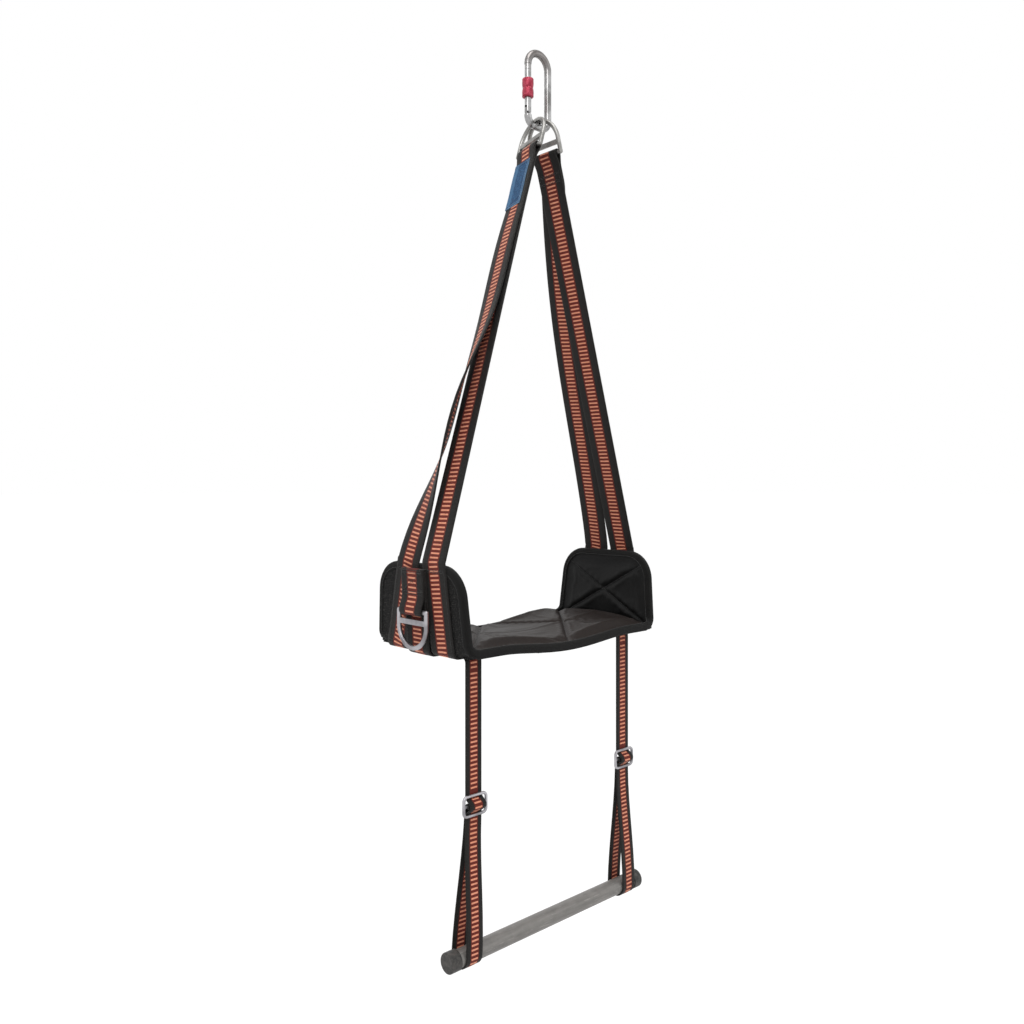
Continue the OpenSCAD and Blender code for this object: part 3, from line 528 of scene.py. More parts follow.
# A profile swept along a path; its points are (across, out) and close on themselves
def sweptPiece(name, path, across, face, profile, finish, uvName, closed=False, start=0.0, scale=None):
    path = np.asarray(path, float)
    count, sides = len(path), len(profile)
    profile = np.asarray(profile, float)
    scale = np.ones((count, 2)) if scale is None else scale
    points = (path[:, None, :] + across[:, None, :] * (profile[None, :, 0] * scale[:, 0:1])[:, :, None]
              + face[:, None, :] * (profile[None, :, 1] * scale[:, 1:2])[:, :, None])
    run = np.concatenate([[0], np.cumsum(np.linalg.norm(np.diff(path, axis=0), axis=1))]) + start
    faces, uv = [], []
    for k in range(count if closed else count - 1):
        after = (k + 1) % count
        far = run[k + 1] if k + 1 < count else run[-1] + np.linalg.norm(path[0] - path[-1])
        for j in range(sides):
            other = (j + 1) % sides
            faces.append((k * sides + j, k * sides + other, after * sides + other, after * sides + j))
            here, there = profile[j, 0], profile[other, 0]
            uv += [(here, run[k]), (there, run[k]), (there, far), (here, far)]
    if not closed:
        faces.append(tuple(range(sides - 1, -1, -1)))
        uv += [(profile[j, 0], run[0]) for j in range(sides - 1, -1, -1)]
        last = (count - 1) * sides
        faces.append(tuple(range(last, last + sides)))
        uv += [(profile[j, 0], run[-1]) for j in range(sides)]
    return meshPiece(name, points.reshape(-1, 3), faces, finish, uvName, uv)


def bandProfile(width, thick):
    bead = thick * 0.45
    flatHalf = width / 2 - bead
    turn = [(math.cos(a) * bead, math.sin(a)) for a in np.linspace(-math.pi / 2, math.pi / 2, 5)]
    flat = np.linspace(-flatHalf, flatHalf, 9)[1:-1]
    low = [(x, -thick / 2) for x in flat]
    high = [(x, thick / 2) for x in flat[::-1]]
    right = [(flatHalf + c, s * thick / 2) for c, s in turn]
    left = [(-flatHalf - c, -s * thick / 2) for c, s in turn]
    return low + right + high + left


# Grid between two point sheets, closed round its rim
def sheetFaces(rows, cols):
    lift = rows * cols
    faces = []
    for i in range(rows - 1):
        for j in range(cols - 1):
            a, b = i * cols + j, (i + 1) * cols + j
            faces.append((a, b, b + 1, a + 1))
            faces.append((lift + a, lift + a + 1, lift + b + 1, lift + b))
    edge = ([i * cols for i in range(rows - 1)] + [(rows - 1) * cols + j for j in range(cols - 1)]
            + [i * cols + cols - 1 for i in range(rows - 1, 0, -1)] + list(range(cols - 1, 0, -1)))
    for k, a in enumerate(edge):
        b = edge[(k + 1) % len(edge)]
        faces.append((a, lift + a, lift + b, b))
    return faces


def cornerUv(flat, faces):
    return [flat[v] for f in faces for v in f]


# One tree sets copies of a unit along paths, turned to the path and to its lift
def pathTree():
    g = Graph(bpy.data.node_groups.new("alongPath", "GeometryNodeTree"))
    for label, kind in (("Path", "Geometry"), ("Unit", "Object"), ("Pitch", "Float"), ("Sway", "Float"),
                        ("Seed", "Int"), ("Finish", "Material")):
        g.tree.interface.new_socket(label, in_out="INPUT", socket_type="NodeSocket" + kind)
    g.tree.interface.new_socket("Made", in_out="OUTPUT", socket_type="NodeSocketGeometry")
    entry = g.node("NodeGroupInput").socket.node
    given = {socket.name: Sock(g, socket) for socket in entry.outputs if socket.name}
    line = g.node("GeometryNodeMeshToCurve", None, {0: given["Path"]})
    line = g.node("GeometryNodeResampleCurve", {"mode": "LENGTH"}, {"Curve": line, "Length": given["Pitch"]})
    lift = g.node("GeometryNodeInputNamedAttribute", {"data_type": "FLOAT_VECTOR"}, {"Name": "lift"})
    turn = g.node("FunctionNodeAlignRotationToVector", {"axis": "Z"}, {"Vector": lift})
    turn = g.node("FunctionNodeAlignRotationToVector", {"axis": "X", "pivot_axis": "Z"},
                  {"Rotation": turn, "Vector": g.node("GeometryNodeInputTangent")})
    size = g.node("FunctionNodeRandomValue", {"data_type": "FLOAT"},
                  {2: 1 - given["Sway"], 3: 1 + given["Sway"], "Seed": given["Seed"]}, out=1)
    unit = g.node("GeometryNodeObjectInfo", None, {"Object": given["Unit"]}, out="Geometry")
    made = g.node("GeometryNodeInstanceOnPoints", None,
                  {"Points": line, "Instance": unit, "Rotation": turn, "Scale": size})
    made = g.node("GeometryNodeRealizeInstances", None, {0: made})
    made = g.node("GeometryNodeSetMaterial", None, {"Geometry": made, "Material": given["Finish"]})
    g.node("NodeGroupOutput", None, {0: made})
    return g.tree


alongPath = pathTree()


# A flat rounded bead: x along the path, y across it, z out of the face
def beadUnit(name, run, width, thick, rows=5, cols=9):
    a, b = np.meshgrid(np.linspace(-1, 1, rows), np.linspace(-1, 1, cols), indexing="ij")
    dome = np.maximum((1 - np.abs(a) ** 4) ** 0.5 * (1 - np.abs(b) ** 10) ** 0.5, 0.25)
    low = np.stack([a * run / 2, b * width / 2, -dome * thick / 2], -1).reshape(-1, 3)
    high = low * np.array([1, 1, -1])
    faces = sheetFaces(rows, cols)
    flat = np.vstack([low[:, 1::-1], low[:, 1::-1]])
    uv = cornerUv(flat, faces)
    return meshPiece(name, np.vstack([low, high]), faces, orangeFloat, "unit", uv, smooth=0)


# Copies of a unit along rows of points, each with its lift, as one mesh
def growAlong(name, rows, unit, pitch, sway, seed, finish):
    points, lifts, edges = [], [], []
    for line, lift in rows:
        start = len(points)
        points += [tuple(p) for p in np.asarray(line) * 0.001]
        lifts += [tuple(p) for p in np.broadcast_to(lift, np.shape(line))]
        edges += [(k, k + 1) for k in range(start, len(points) - 1)]
    mesh = bpy.data.meshes.new(name + "Path")
    mesh.from_pydata(points, edges, [])
    lifted = mesh.attributes.new("lift", "FLOAT_VECTOR", "POINT")
    lifted.data.foreach_set("vector", np.asarray(lifts, np.float32).ravel())
    carrier = bpy.data.objects.new(name + "Path", mesh)
    scene.collection.objects.link(carrier)
    grow = carrier.modifiers.new("grow", "NODES")
    grow.node_group = alongPath
    given = {"Unit": unit, "Pitch": pitch * 0.001, "Sway": sway, "Seed": seed, "Finish": finish}
    for item in alongPath.interface.items_tree:
        if item.in_out == "INPUT" and item.name in given:
            grow[item.identifier] = given[item.name]
    made = bpy.data.meshes.new_from_object(carrier.evaluated_get(bpy.context.evaluated_depsgraph_get()))
    made.shade_smooth()
    bpy.data.objects.remove(carrier)
    piece = bpy.data.objects.new(name, made)
    scene.collection.objects.link(piece)
    print(name, len(made.polygons), "faces")
    return piece


# A band and its floats; the path may carry its own width axis at each point
def bandPiece(name, path, axis, width, thick, finish, start=0.0, floats=None, trim=0.0, **easing):
    path = np.asarray(path, float)
    line = easedPath(path, **easing)
    along = np.gradient(line[:, :3], axis=0)
    along /= np.linalg.norm(along, axis=1)[:, None]
    axis = line[:, 3:] if line.shape[1] > 3 else np.broadcast_to(np.asarray(axis, float), along.shape)
    across = axis - (along * axis).sum(1)[:, None] * along
    across /= np.linalg.norm(across, axis=1)[:, None]
    face = np.cross(along, across)
    line = line[:, :3]
    piece = sweptPiece(name, line, across, face, bandProfile(width, thick), finish, "strap", start=start)
    if floats is None:
        return piece
    run = np.concatenate([[0], np.cumsum(np.linalg.norm(np.diff(line, axis=0), axis=1))])
    clear = webbing["endClear"]
    keep = (run >= trim + clear) & (run <= run[-1] - clear)
    ladder = growAlong(name + "Floats", [(line[keep], face[keep])], floats, webbing["period"],
                       webbing["sway"], len(name), orangeFloat)
    return piece, ladder


def onSide(points, side):
    points = np.asarray(points, float)
    return points * np.array([side, 1, 1] * (points.shape[1] // 3))


sides = (("left", -1), ("right", 1))
bandFloat = beadUnit("bandFloat", webbing["run"], webbing["bandLadder"], band["thick"] + 2 * webbing["rise"])
footFloat = beadUnit("footFloat", webbing["run"], webbing["footLadder"], foot["thick"] + 2 * webbing["rise"])


def wideBand(name, line, axis=None, **more):
    return bandPiece(name, line, axis, band["width"], band["thick"], bandCloth, floats=bandFloat, **more)


# Hanging bands
cornerMid = (cornerX - chair["turn"] * (1 - leanSin) / leanCos, underZ + chair["turn"])


def underPath(y, drop, endX, count=10):
    return [(x, y, underZ + float(sag(x)) - drop) for x in np.linspace(band["buttGap"], endX, count)]


def cornerPath(y, drop):
    r = chair["turn"] + drop
    return [(cornerMid[0] + r * math.cos(a), y, cornerMid[1] + r * math.sin(a))
            for a in np.linspace(-math.pi / 2, -chair["flapLean"], 7)]


def spread(h):
    return mix(band["spreadLow"], band["spreadTop"], h / chair["flapHeight"])


# How far a band lies from its flap's middle: way is -1 in front, 1 at the rear
def bandD(name, way, h):
    return way * spread(h) - band["lead"][name] * h / chair["flapHeight"]


def upFlap(name, way):
    y = chair["setback"] + way * band["spreadLow"]
    climb = list(np.linspace(chair["turn"], chair["flapHeight"], 7)[1:]) + [leaveH]
    line = underPath(y, bandN, cornerMid[0] - 2) + cornerPath(y, bandN)
    return line + [flapPoint(bandN, bandD(name, way, h), h) for h in climb]


def plain(points):
    return [(*p, 0, 1, 0) for p in points]


# The free length of a band; a slack one bows, bulges, fans to the rear, is drawn forward and twists
def upLeg(name, way, layer, bow=0, bulge=0, aft=0, pull=0, twist=0):
    turn, sewn = ring["turn"][name], band["sewn"][name]
    y = chair["setback"] + bandD(name, way, leaveH)
    outwards = np.array([legCos, 0, legSin])
    line = []
    for t in np.arange(1, band["steps"]) / band["steps"]:
        slack = math.sin(math.pi * t ** band["lowSkew"])
        out = bow * slack + bulge * math.exp(-((t - band["bulgeMid"]) / band["bulgeReach"]) ** 2)
        p = legPoint(layer * t, 0, mix(legLength, sewn, t), turn * t) + outwards * out
        p[1] += y * (1 - t) + aft * math.sin(math.pi * t ** band["highSkew"])
        p[1] -= pull * math.sin(math.pi * t) ** 2
        line.append((*p, *legAxis(turn * t - twist * slack ** 4)))
    return line


def sewnLeg(layer, turn, sewn):
    side = math.copysign(foldR, layer)
    line = [legPoint(layer, 0, s, turn) for s in np.linspace(sewn, band["meet"], 5)]
    line += [legPoint(mix(layer, side, float(ramp(t))), 0, band["meet"] * (1 - t), turn)
             for t in (0.2, 0.4, 0.6, 0.8)]
    return [(*p, *legAxis(turn)) for p in line]


halfLayer = layerN / 2


def hangerPath(name):
    turn, sewn = ring["turn"][name], band["sewn"][name]
    fold = [(*legPoint(foldR * math.cos(a), 0, -foldR * math.sin(a), turn), *legAxis(turn))
            for a in np.radians(np.arange(180, -1, -15))]
    front = plain(upFlap(name, -1)) + upLeg(name, -1, -halfLayer) + sewnLeg(-halfLayer, turn, sewn)
    rear = plain(upFlap(name, 1)) + upLeg(name, 1, halfLayer, *band["rear"][name])
    rear += sewnLeg(halfLayer, turn, sewn)
    return front + fold + rear[::-1]


def keepOn(pieces, body, slot, *solids):
    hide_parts(*solids)
    for piece in pieces:
        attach(piece, body)


for name, side in sides:
    pieces = wideBand("hangerBand_" + name, onSide(hangerPath(name), side))
    keepOn(pieces, "chair", "webbing", "hanger_strap_" + name)

# Middle bands up the flaps, with the folded tabs that hold the side rings
overN = layerN + bandN
tabBackN = 2 * layerN + bandN
tabFrontN, tabBarN = tabBackN + layerN, tabBackN + foldR
tabTop, tabLow = chair["flapHeight"] - band["topInset"], ring["sideH"]
tabMeet = tabLow + band["tabMeet"]
climbX = cornerMid[0] - band["climb"]
for name, side in sides:
    middle = underPath(chair["setback"], bandN, climbX)
    for i in (1, 2, 3):
        drop = mix(bandN, overN, float(ramp(i / 3)))
        middle.append((mix(climbX, cornerMid[0], i / 4), chair["setback"], underZ - drop))
    middle += cornerPath(chair["setback"], overN)
    middle += [flapPoint(overN, 0, h) for h in np.linspace(chair["turn"], tabTop, 6)[1:]]
    pieces = wideBand("middleBand_" + name, onSide(middle, side), (0, 1, 0))
    keepOn(pieces, "chair", "webbing", "ring_strap_" + name)
    tab = [flapPoint(tabBackN, 0, h) for h in np.linspace(tabTop, tabLow, 5)]
    tab += [flapPoint(tabBarN + foldR * math.cos(a), 0, tabLow + foldR * math.sin(a))
            for a in np.radians(np.arange(195, 361, 15))]
    tab += [flapPoint(mix(tabBarN + foldR, tabFrontN, float(ramp(i / 5))), 0, mix(tabLow, tabMeet, i / 5))
            for i in range(1, 6)]
    tab += [flapPoint(tabFrontN, 0, h) for h in np.linspace(tabMeet, tabTop, 4)[1:]]
    pieces = wideBand("ringTab_" + name, onSide(tab, side), (0, 1, 0), trim=band["tabTrim"])
    keepOn(pieces, "chair", "webbing", "ring_tab_" + name)

# Patches over the bands' joints under the seat
for name, way in (("front", -1), ("middle", 0), ("rear", 1)):
    z = underZ - layerN - chair["layGap"] - band["thick"] / 2
    line = [(x, chair["setback"] + way * band["spreadLow"], z + float(sag(x)))
            for x in np.linspace(-band["patch"] / 2, band["patch"] / 2, 9)]
    pieces = wideBand("splicePatch_" + name, line, (0, 1, 0))
    keepOn(pieces, "chair", "webbing", "splice_patch_" + name)
print("bands made")

# Foot straps: sewn root, strap to the buckle, and the loop round the bar
eyeletR = foot["buckleWire"] / 2 + chair["layGap"] + foot["thick"] / 2
bulge = eyeletR + foot["thick"] + foot["cover"]
wrapR = foot["barDiameter"] / 2 + chair["runGap"] + foot["thick"] / 2


def atStrap(points, side):
    return [(side * (strapX + shift), y, z) for shift, y, z in points]


def strapSpot(side, z):
    return (side * strapX * 0.001, strapY * 0.001, z * 0.001)


def rootLine():
    turn = foot["turn"]
    rear = chair["setback"] - band["spreadLow"] + band["width"] / 2 - foot["rootInset"]
    line = [(0, y, rootZ) for y in np.linspace(rear, strapY + turn + 2, 4)]
    line += [(0, strapY + turn + turn * math.cos(a), rootZ - turn + turn * math.sin(a))
             for a in np.radians(np.arange(90, 181, 12))]
    return line + [(0, strapY, rootEndZ), (0, strapY, hingeZ - foot["lap"])]


def loopLine(name):
    behind = strapY + foot["thick"] + chair["layGap"]
    pitch, bend = foot["bucklePitch"], foot["bend"]
    frontZ, rearZ = buckleZ - pitch - foot["below"], buckleZ - pitch - foot["behindBelow"]
    front, rear = foot["splay"][name]
    line = [(0, strapY, strapEndZ - chair["layGap"]), (0, strapY, buckleZ + pitch - bend),
            (0, buckleY - bulge, buckleZ + bend), (0, buckleY - bulge, buckleZ - bend),
            (0, strapY, buckleZ - pitch + bend), (0, strapY, frontZ)]
    for t in np.arange(1, 7) / 7:
        line.append((front * t, mix(strapY, strapY - wrapR, float(ramp(t))), mix(frontZ, barZ, t)))
    for a in np.radians(np.arange(180, 361, 12)):
        shift = mix(front, rear, a / math.pi - 1)
        line.append((shift, strapY + wrapR * math.cos(a), barZ + wrapR * math.sin(a)))
    for t in np.arange(1, 7) / 7:
        line.append((rear * (1 - t), mix(strapY + wrapR, behind, float(ramp(t))), mix(barZ, rearZ, t)))
    line += [(0, behind, rearZ), (0, behind, buckleZ - eyeletR - foot["below"])]
    for a in np.radians(np.arange(0, 241, 20)):
        line.append((0, buckleY + eyeletR * math.cos(a), buckleZ + eyeletR * math.sin(a)))
    return line


def footBand(name, solid, line, side, ends, start=0.0, **easing):
    pieces = bandPiece(name, atStrap(line, side), (1, 0, 0), foot["width"], foot["thick"], footCloth,
                       start=start, floats=footFloat, **easing)
    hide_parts(solid)
    near, far, top, low = ends
    for piece in pieces:
        strapSpot(side, top)
        strapSpot(side, low)
        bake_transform(piece)


lapZ = hingeZ - foot["lap"]
for name, side in sides:
    footBand("footRoot_" + name, "foot_strap_root_" + name, rootLine(), side,
             ("chair", "sling", hingeZ + foot["hingeEase"], hingeZ - foot["hingeEase"]), step=1.5)
    footBand("footStrap_" + name, "foot_strap_" + name, [(0, strapY, lapZ), (0, strapY, strapEndZ)], side,
             ("sling", "slide_" + name, lapZ, strapEndZ), start=2.0)
    footBand("footLoop_" + name, "foot_loop_" + name, loopLine(name), side,
             ("slide_left", "loops", buckleZ - foot["easeTop"], barZ + foot["easeLow"]), ease=2)
print("foot straps made")


# The pads' cloth, the frames that it settles in, and how firmly their seams hold it
padCloth = dict(quality=5, mass=0.15, tension_stiffness=15, compression_stiffness=8, shear_stiffness=5,
                bending_stiffness=0.15, use_pressure=True)
padFrames = 20
padPins = dict(gain=1.4, slack=0.3, rim=0.02)


# Pillow a pad by cloth pressure between its sewn lines, scaled so that no point moves past the cap
def inflate(piece, pinned, pressure, cap):
    mesh = piece.data
    before = np.empty(len(mesh.vertices) * 3)
    mesh.vertices.foreach_get("co", before)
    before = before.reshape(-1, 3)
    group = piece.vertex_groups.new(name="pins")
    for weight in np.unique(np.round(pinned, 1)):
        if weight > 0:
            group.add(np.nonzero(np.round(pinned, 1) == weight)[0].tolist(), float(weight), "REPLACE")
    cloth = piece.modifiers.new("Cloth", "CLOTH")
    for key, value in padCloth.items():
        setattr(cloth.settings, key, value)
    cloth.settings.uniform_pressure_force = pressure
    cloth.settings.vertex_group_mass = "pins"
    cloth.settings.effector_weights.gravity = 0
    cloth.collision_settings.use_collision = False
    cloth.point_cache.frame_start = 1
    cloth.point_cache.frame_end = padFrames
    for step in range(1, padFrames + 1):
        scene.frame_set(step)
    solved = piece.evaluated_get(bpy.context.evaluated_depsgraph_get()).data
    after = np.empty(len(before) * 3)
    solved.vertices.foreach_get("co", after)
    move = np.nan_to_num(after.reshape(-1, 3) - before)
    reach = np.linalg.norm(move, axis=1)
    print(piece.name, "swelled by", round(float(reach.max()) * 1000, 2), "mm at most")
    move *= min(1.0, cap / max(float(reach.max()), 1e-9))
    piece.modifiers.remove(cloth)
    piece.vertex_groups.clear()
    mesh.vertices.foreach_set("co", (before + move).ravel())
    scene.frame_set(1)


def refine(piece):
    smoother = piece.modifiers.new("Subdivision", "SUBSURF")
    smoother.levels = smoother.render_levels = 1
    fine = bpy.data.meshes.new_from_object(piece.evaluated_get(bpy.context.evaluated_depsgraph_get()))
    piece.modifiers.clear()
    piece.data = fine
    fine.shade_smooth()


def offCross(a, b, halfA, halfB):
    k = halfA / halfB
    return np.abs(np.abs(a) - k * np.abs(b)) / math.sqrt(1 + k * k)


def readPoints(piece):
    flat = np.empty(len(piece.data.vertices) * 3)
    piece.data.vertices.foreach_get("co", flat)
    return flat.reshape(-1, 3) * 1000


def writePoints(piece, points):
    piece.data.vertices.foreach_set("co", (points * 0.001).ravel())
    piece.data.update()


def pinShare(groove, rise):
    held = np.clip(groove * padPins["gain"] - padPins["slack"], 0, 1)
    return np.maximum(held, 1.0 * (rise < padPins["rim"]))


# How deep a seam is drawn in, less the small puckers along both of its sides
def seamDepth(pad, off, a, b):
    stepA, swayA, longA, stepB, swayB, longB = pad["ripple"]
    wrinkle = np.sin(a / stepA + swayA * np.sin(b / longA)) * np.sin(b / stepB + swayB * np.sin(a / longB))
    beside = np.exp(-((off - pad["puckerOff"]) / pad["puckerOff"]) ** 2)
    return pad["seam"] * np.exp(-(off / pad["seamHalf"]) ** 2) - pad["pucker"] * wrinkle * beside


# Seat cushion: two cells, each sewn with a cross
cushion = dict(cols=91, rows=49, inset=1.5, edge=3.4, tape=6, roll=16, endRoll=10, seamRoll=10, low=2.5,
               puff=11.5, reach=15, seamWidth=4.0, pressure=5.0, cap=0.009, seam=2.2, seamHalf=1.7,
               pucker=0.7, puckerOff=6, ripple=(3.1, 1.3, 17, 2.6, 1.7, 23), skin=2, fill=0.7)
cell = cushionHalf / 2
seatBound = halfDepth - cushion["tape"]


def seatOff(x, d):
    return offCross(np.abs(x) - cell, d, cell, seatBound)


xs = np.linspace(-cushionHalf, cushionHalf, cushion["cols"])
ds = np.linspace(cushion["inset"] - halfDepth, halfDepth - cushion["inset"], cushion["rows"])
gridX, gridD = np.meshgrid(xs, ds, indexing="ij")
rise = ramp((cushionHalf - np.abs(gridX)) / cushion["endRoll"])
rise = rise * ramp((seatBound - np.abs(gridD)) / cushion["roll"])
groove = np.exp(-(seatOff(gridX, gridD) / cushion["seamWidth"]) ** 2)
floorZ = cushionZ + sag(gridX)
swell = 1 - np.exp(-seatOff(gridX, gridD) / cushion["reach"])
topZ = floorZ + cushion["edge"] + rise * (cushion["low"] + cushion["puff"] * swell)
low = np.stack([gridX, chair["setback"] + gridD, floorZ], -1).reshape(-1, 3)
high = np.stack([gridX, chair["setback"] + gridD, topZ], -1).reshape(-1, 3)
seatPad = meshPiece("seatPad", np.vstack([low, high]), sheetFaces(cushion["cols"], cushion["rows"]), vinyl,
                    smooth=0)
pinned = np.concatenate([np.ones(len(low)), pinShare(groove, rise).ravel()])
inflate(seatPad, pinned, cushion["pressure"], cushion["cap"])
refine(seatPad)
points = readPoints(seatPad)
onTop = points[:, 2] > cushionZ + sag(points[:, 0]) + cushion["skin"]
off = seatOff(points[:, 0], points[:, 1] - chair["setback"])
inside = ramp((seatBound - np.abs(points[:, 1] - chair["setback"])) / cushion["seamRoll"])
points[:, 2] -= onTop * inside * seamDepth(cushion, off, points[:, 0], points[:, 1])
writePoints(seatPad, points)
keepOn([seatPad], "chair", "vinyl", "seat_cushion")
print("seat cushion made")

# Flap pads: one sewn cross each
flapPad = dict(cols=49, rows=41, roll=18, footRoll=20, footRise=6, sideRoll=8, topRoll=6, topRim=10,
               rimSteps=(7.5, 5.0, 3.2, 2.1), inset=0.2, startCrown=5, grooveShare=0.75, seamWidth=4.5,
               pressure=5.0, cap=0.006, seam=1.6, seamHalf=1.6, pucker=0.4, puckerOff=6,
               ripple=(3.0, 1.2, 15, 2.7, 1.5, 19), skin=4, fill=0.65)
flapBoundTop = chair["flapHeight"] - chair["tapeWidth"] - chair["lipClear"]
flapMid = (flapBoundTop + flapFoot) / 2


def flapOff(d, h):
    return offCross(d, h - flapMid, halfDepth - chair["tapeWidth"], flapBoundTop - flapMid)


def toFlap(points, side):
    x = side * points[:, 0] - cornerX
    z = points[:, 2] - underZ
    return x * leanCos - z * leanSin, points[:, 1] - chair["setback"], x * leanSin + z * leanCos


boundD = chair["tapeWidth"] + chair["lipClear"]
rimH = chair["flapHeight"] - np.array(flapPad["rimSteps"])
hs = np.linspace(flapFoot, chair["flapHeight"] - flapPad["topRim"], flapPad["rows"] - len(rimH))
for name, side in sides:
    gridA, gridH = np.meshgrid(np.linspace(1, -1, flapPad["cols"]), np.concatenate([hs, rimH]), indexing="ij")
    gridD = gridA * padHalf(gridH, chair["tapeThick"] + flapPad["inset"])
    bound = padHalf(np.minimum(gridH, chair["flapHeight"] - chair["tapeWidth"]), boundD)
    rise = (ramp((bound - np.abs(gridD)) / flapPad["roll"]) * ramp((flapBoundTop - gridH) / flapPad["roll"])
            * ramp((gridH - flapFoot + flapPad["footRise"]) / flapPad["footRoll"]))
    groove = np.exp(-(flapOff(gridD, gridH) / flapPad["seamWidth"]) ** 2)
    crown = flapPad["startCrown"] - chair["flapChannel"] * flapPad["grooveShare"] * groove
    depthN = padN - chair["padEdge"] - rise * crown
    backN = np.full_like(gridH, padN)
    points = np.vstack([flapPoint(n, gridD, gridH, side).reshape(-1, 3) for n in (backN, depthN)])
    faces = sheetFaces(flapPad["cols"], flapPad["rows"])
    if side < 0:
        faces = [f[::-1] for f in faces]
    piece = meshPiece("flapPad_" + name, points, faces, flapVinyl, smooth=0)
    pinned = np.concatenate([np.ones(gridH.size), pinShare(groove, rise).ravel()])
    inflate(piece, pinned, flapPad["pressure"], flapPad["cap"])
    refine(piece)
    points = readPoints(piece)
    n, d, h = toFlap(points, side)
    faced = ramp((padHalf(h, chair["tapeWidth"]) - np.abs(d)) / flapPad["sideRoll"])
    faced = faced * (n < padN - flapPad["skin"])
    push = faced * ramp((flapBoundTop - h) / flapPad["topRoll"]) * seamDepth(flapPad, flapOff(d, h), d, h)
    points[:, 0] += side * push * leanCos
    points[:, 2] -= push * leanSin
    writePoints(piece, points)
    keepOn([piece], "chair", "vinyl", "flap_pad_" + name)
print("flap pads made")

# Mesh cloth outside the flaps and under the seat; towards its edges it turns the corner more widely
coverCloth = dict(cols=41, rows=25, corner=7, inset=6, topHalf=20, bulge=0.5, bulgeHeight=90, sink=0.5,
                  edge=5.2, edgeTurn=16, edgeFrom=0.72, seatCols=61, seatRows=9, seatInset=5)
rowA = np.linspace(1, -1, coverCloth["cols"])[:, None]
edgeShare = ramp((np.abs(rowA) - coverCloth["edgeFrom"]) / (1 - coverCloth["edgeFrom"]))
turnR = mix(chair["turn"], coverCloth["edgeTurn"], edgeShare)
turnX = cornerX - turnR * (1 - leanSin) / leanCos
turns = np.linspace(-math.pi / 2, -chair["flapLean"], coverCloth["corner"])[None, :]
climb = np.linspace(0, 1, coverCloth["rows"])[None, :]
gridH = mix(turnR + flapFoot - chair["turn"], chair["flapHeight"] - coverCloth["inset"], climb)
gridA = np.broadcast_to(rowA, gridH.shape)
gridD = gridA * np.maximum(padHalf(gridH, coverCloth["inset"]), coverCloth["topHalf"])
swell = np.sin(np.pi * np.clip((gridH - flapFoot) / coverCloth["bulgeHeight"], 0, 1))
swell = coverCloth["bulge"] * (1 - gridA ** 2) * swell - coverCloth["sink"]
cornerGrid = np.broadcast_to(rowA * edgeD(coverCloth["edge"], 0), (coverCloth["cols"], coverCloth["corner"]))


def coverSheet(side, n):
    r = turnR + n[:, :1]
    bent = np.stack([side * (turnX + r * np.cos(turns)), chair["setback"] + cornerGrid,
                     underZ + turnR + r * np.sin(turns)], -1)
    return np.concatenate([bent, flapPoint(n, gridD, gridH, side)], 1).reshape(-1, 3)


under = turnR * (turns + chair["flapLean"] + 1)
flat = np.stack([np.hstack([cornerGrid, gridD]), np.hstack([under, gridH])], -1).reshape(-1, 2)
flat = np.vstack([flat, flat])
for name, side in sides:
    faces = sheetFaces(coverCloth["cols"], coverCloth["rows"] + coverCloth["corner"])
    faces = [f[::-1] for f in faces] if side > 0 else faces
    points = np.vstack([coverSheet(side, n) for n in (np.full_like(gridH, -chair["cover"]), swell)])
    piece = meshPiece("flapMesh_" + name, points, faces, spacerMesh, "cloth", cornerUv(flat, faces))
    keepOn([piece], "chair", "mesh_cloth", "flap_cover_" + name)
coverHalf = cornerX - chair["turn"]
coverD = halfDepth - coverCloth["seatInset"]
gridX, gridD = np.meshgrid(np.linspace(-coverHalf, coverHalf, coverCloth["seatCols"]),
                           np.linspace(-coverD, coverD, coverCloth["seatRows"]), indexing="ij")
low = np.stack([gridX, chair["setback"] + gridD, underZ + sag(gridX)], -1).reshape(-1, 3)
high = low + np.array([0, 0, chair["cover"]])
faces = sheetFaces(coverCloth["seatCols"], coverCloth["seatRows"])
flat = np.vstack([np.stack([gridX, gridD], -1).reshape(-1, 2)] * 2)
piece = meshPiece("seatMesh", np.vstack([low, high]), faces, spacerMesh, "cloth", cornerUv(flat, faces))
keepOn([piece], "chair", "mesh_cloth", "seat_cover")

# Binding: one ribbed tape folded over the whole rim, up the flaps and along the seat
binding = dict(bend=13, steps=9, overhang=0.5)
flapMidN = (flapLipN - chair["tapeThick"]) / 2
seatTapeZ = cushionZ + cushion["edge"] + chair["layGap"] + chair["tapeThick"]
seatMidZ = (underZ + seatTapeZ) / 2
flapThick = -(flapLipN - chair["tapeThick"]) + 2 * binding["overhang"]
seatThick = seatTapeZ - underZ + 2 * binding["overhang"]


def mirrored(rim, flip):
    return [(np.array(p) * flip, np.array(w) * flip, np.array(out) * flip, thick) for p, w, out, thick in rim]


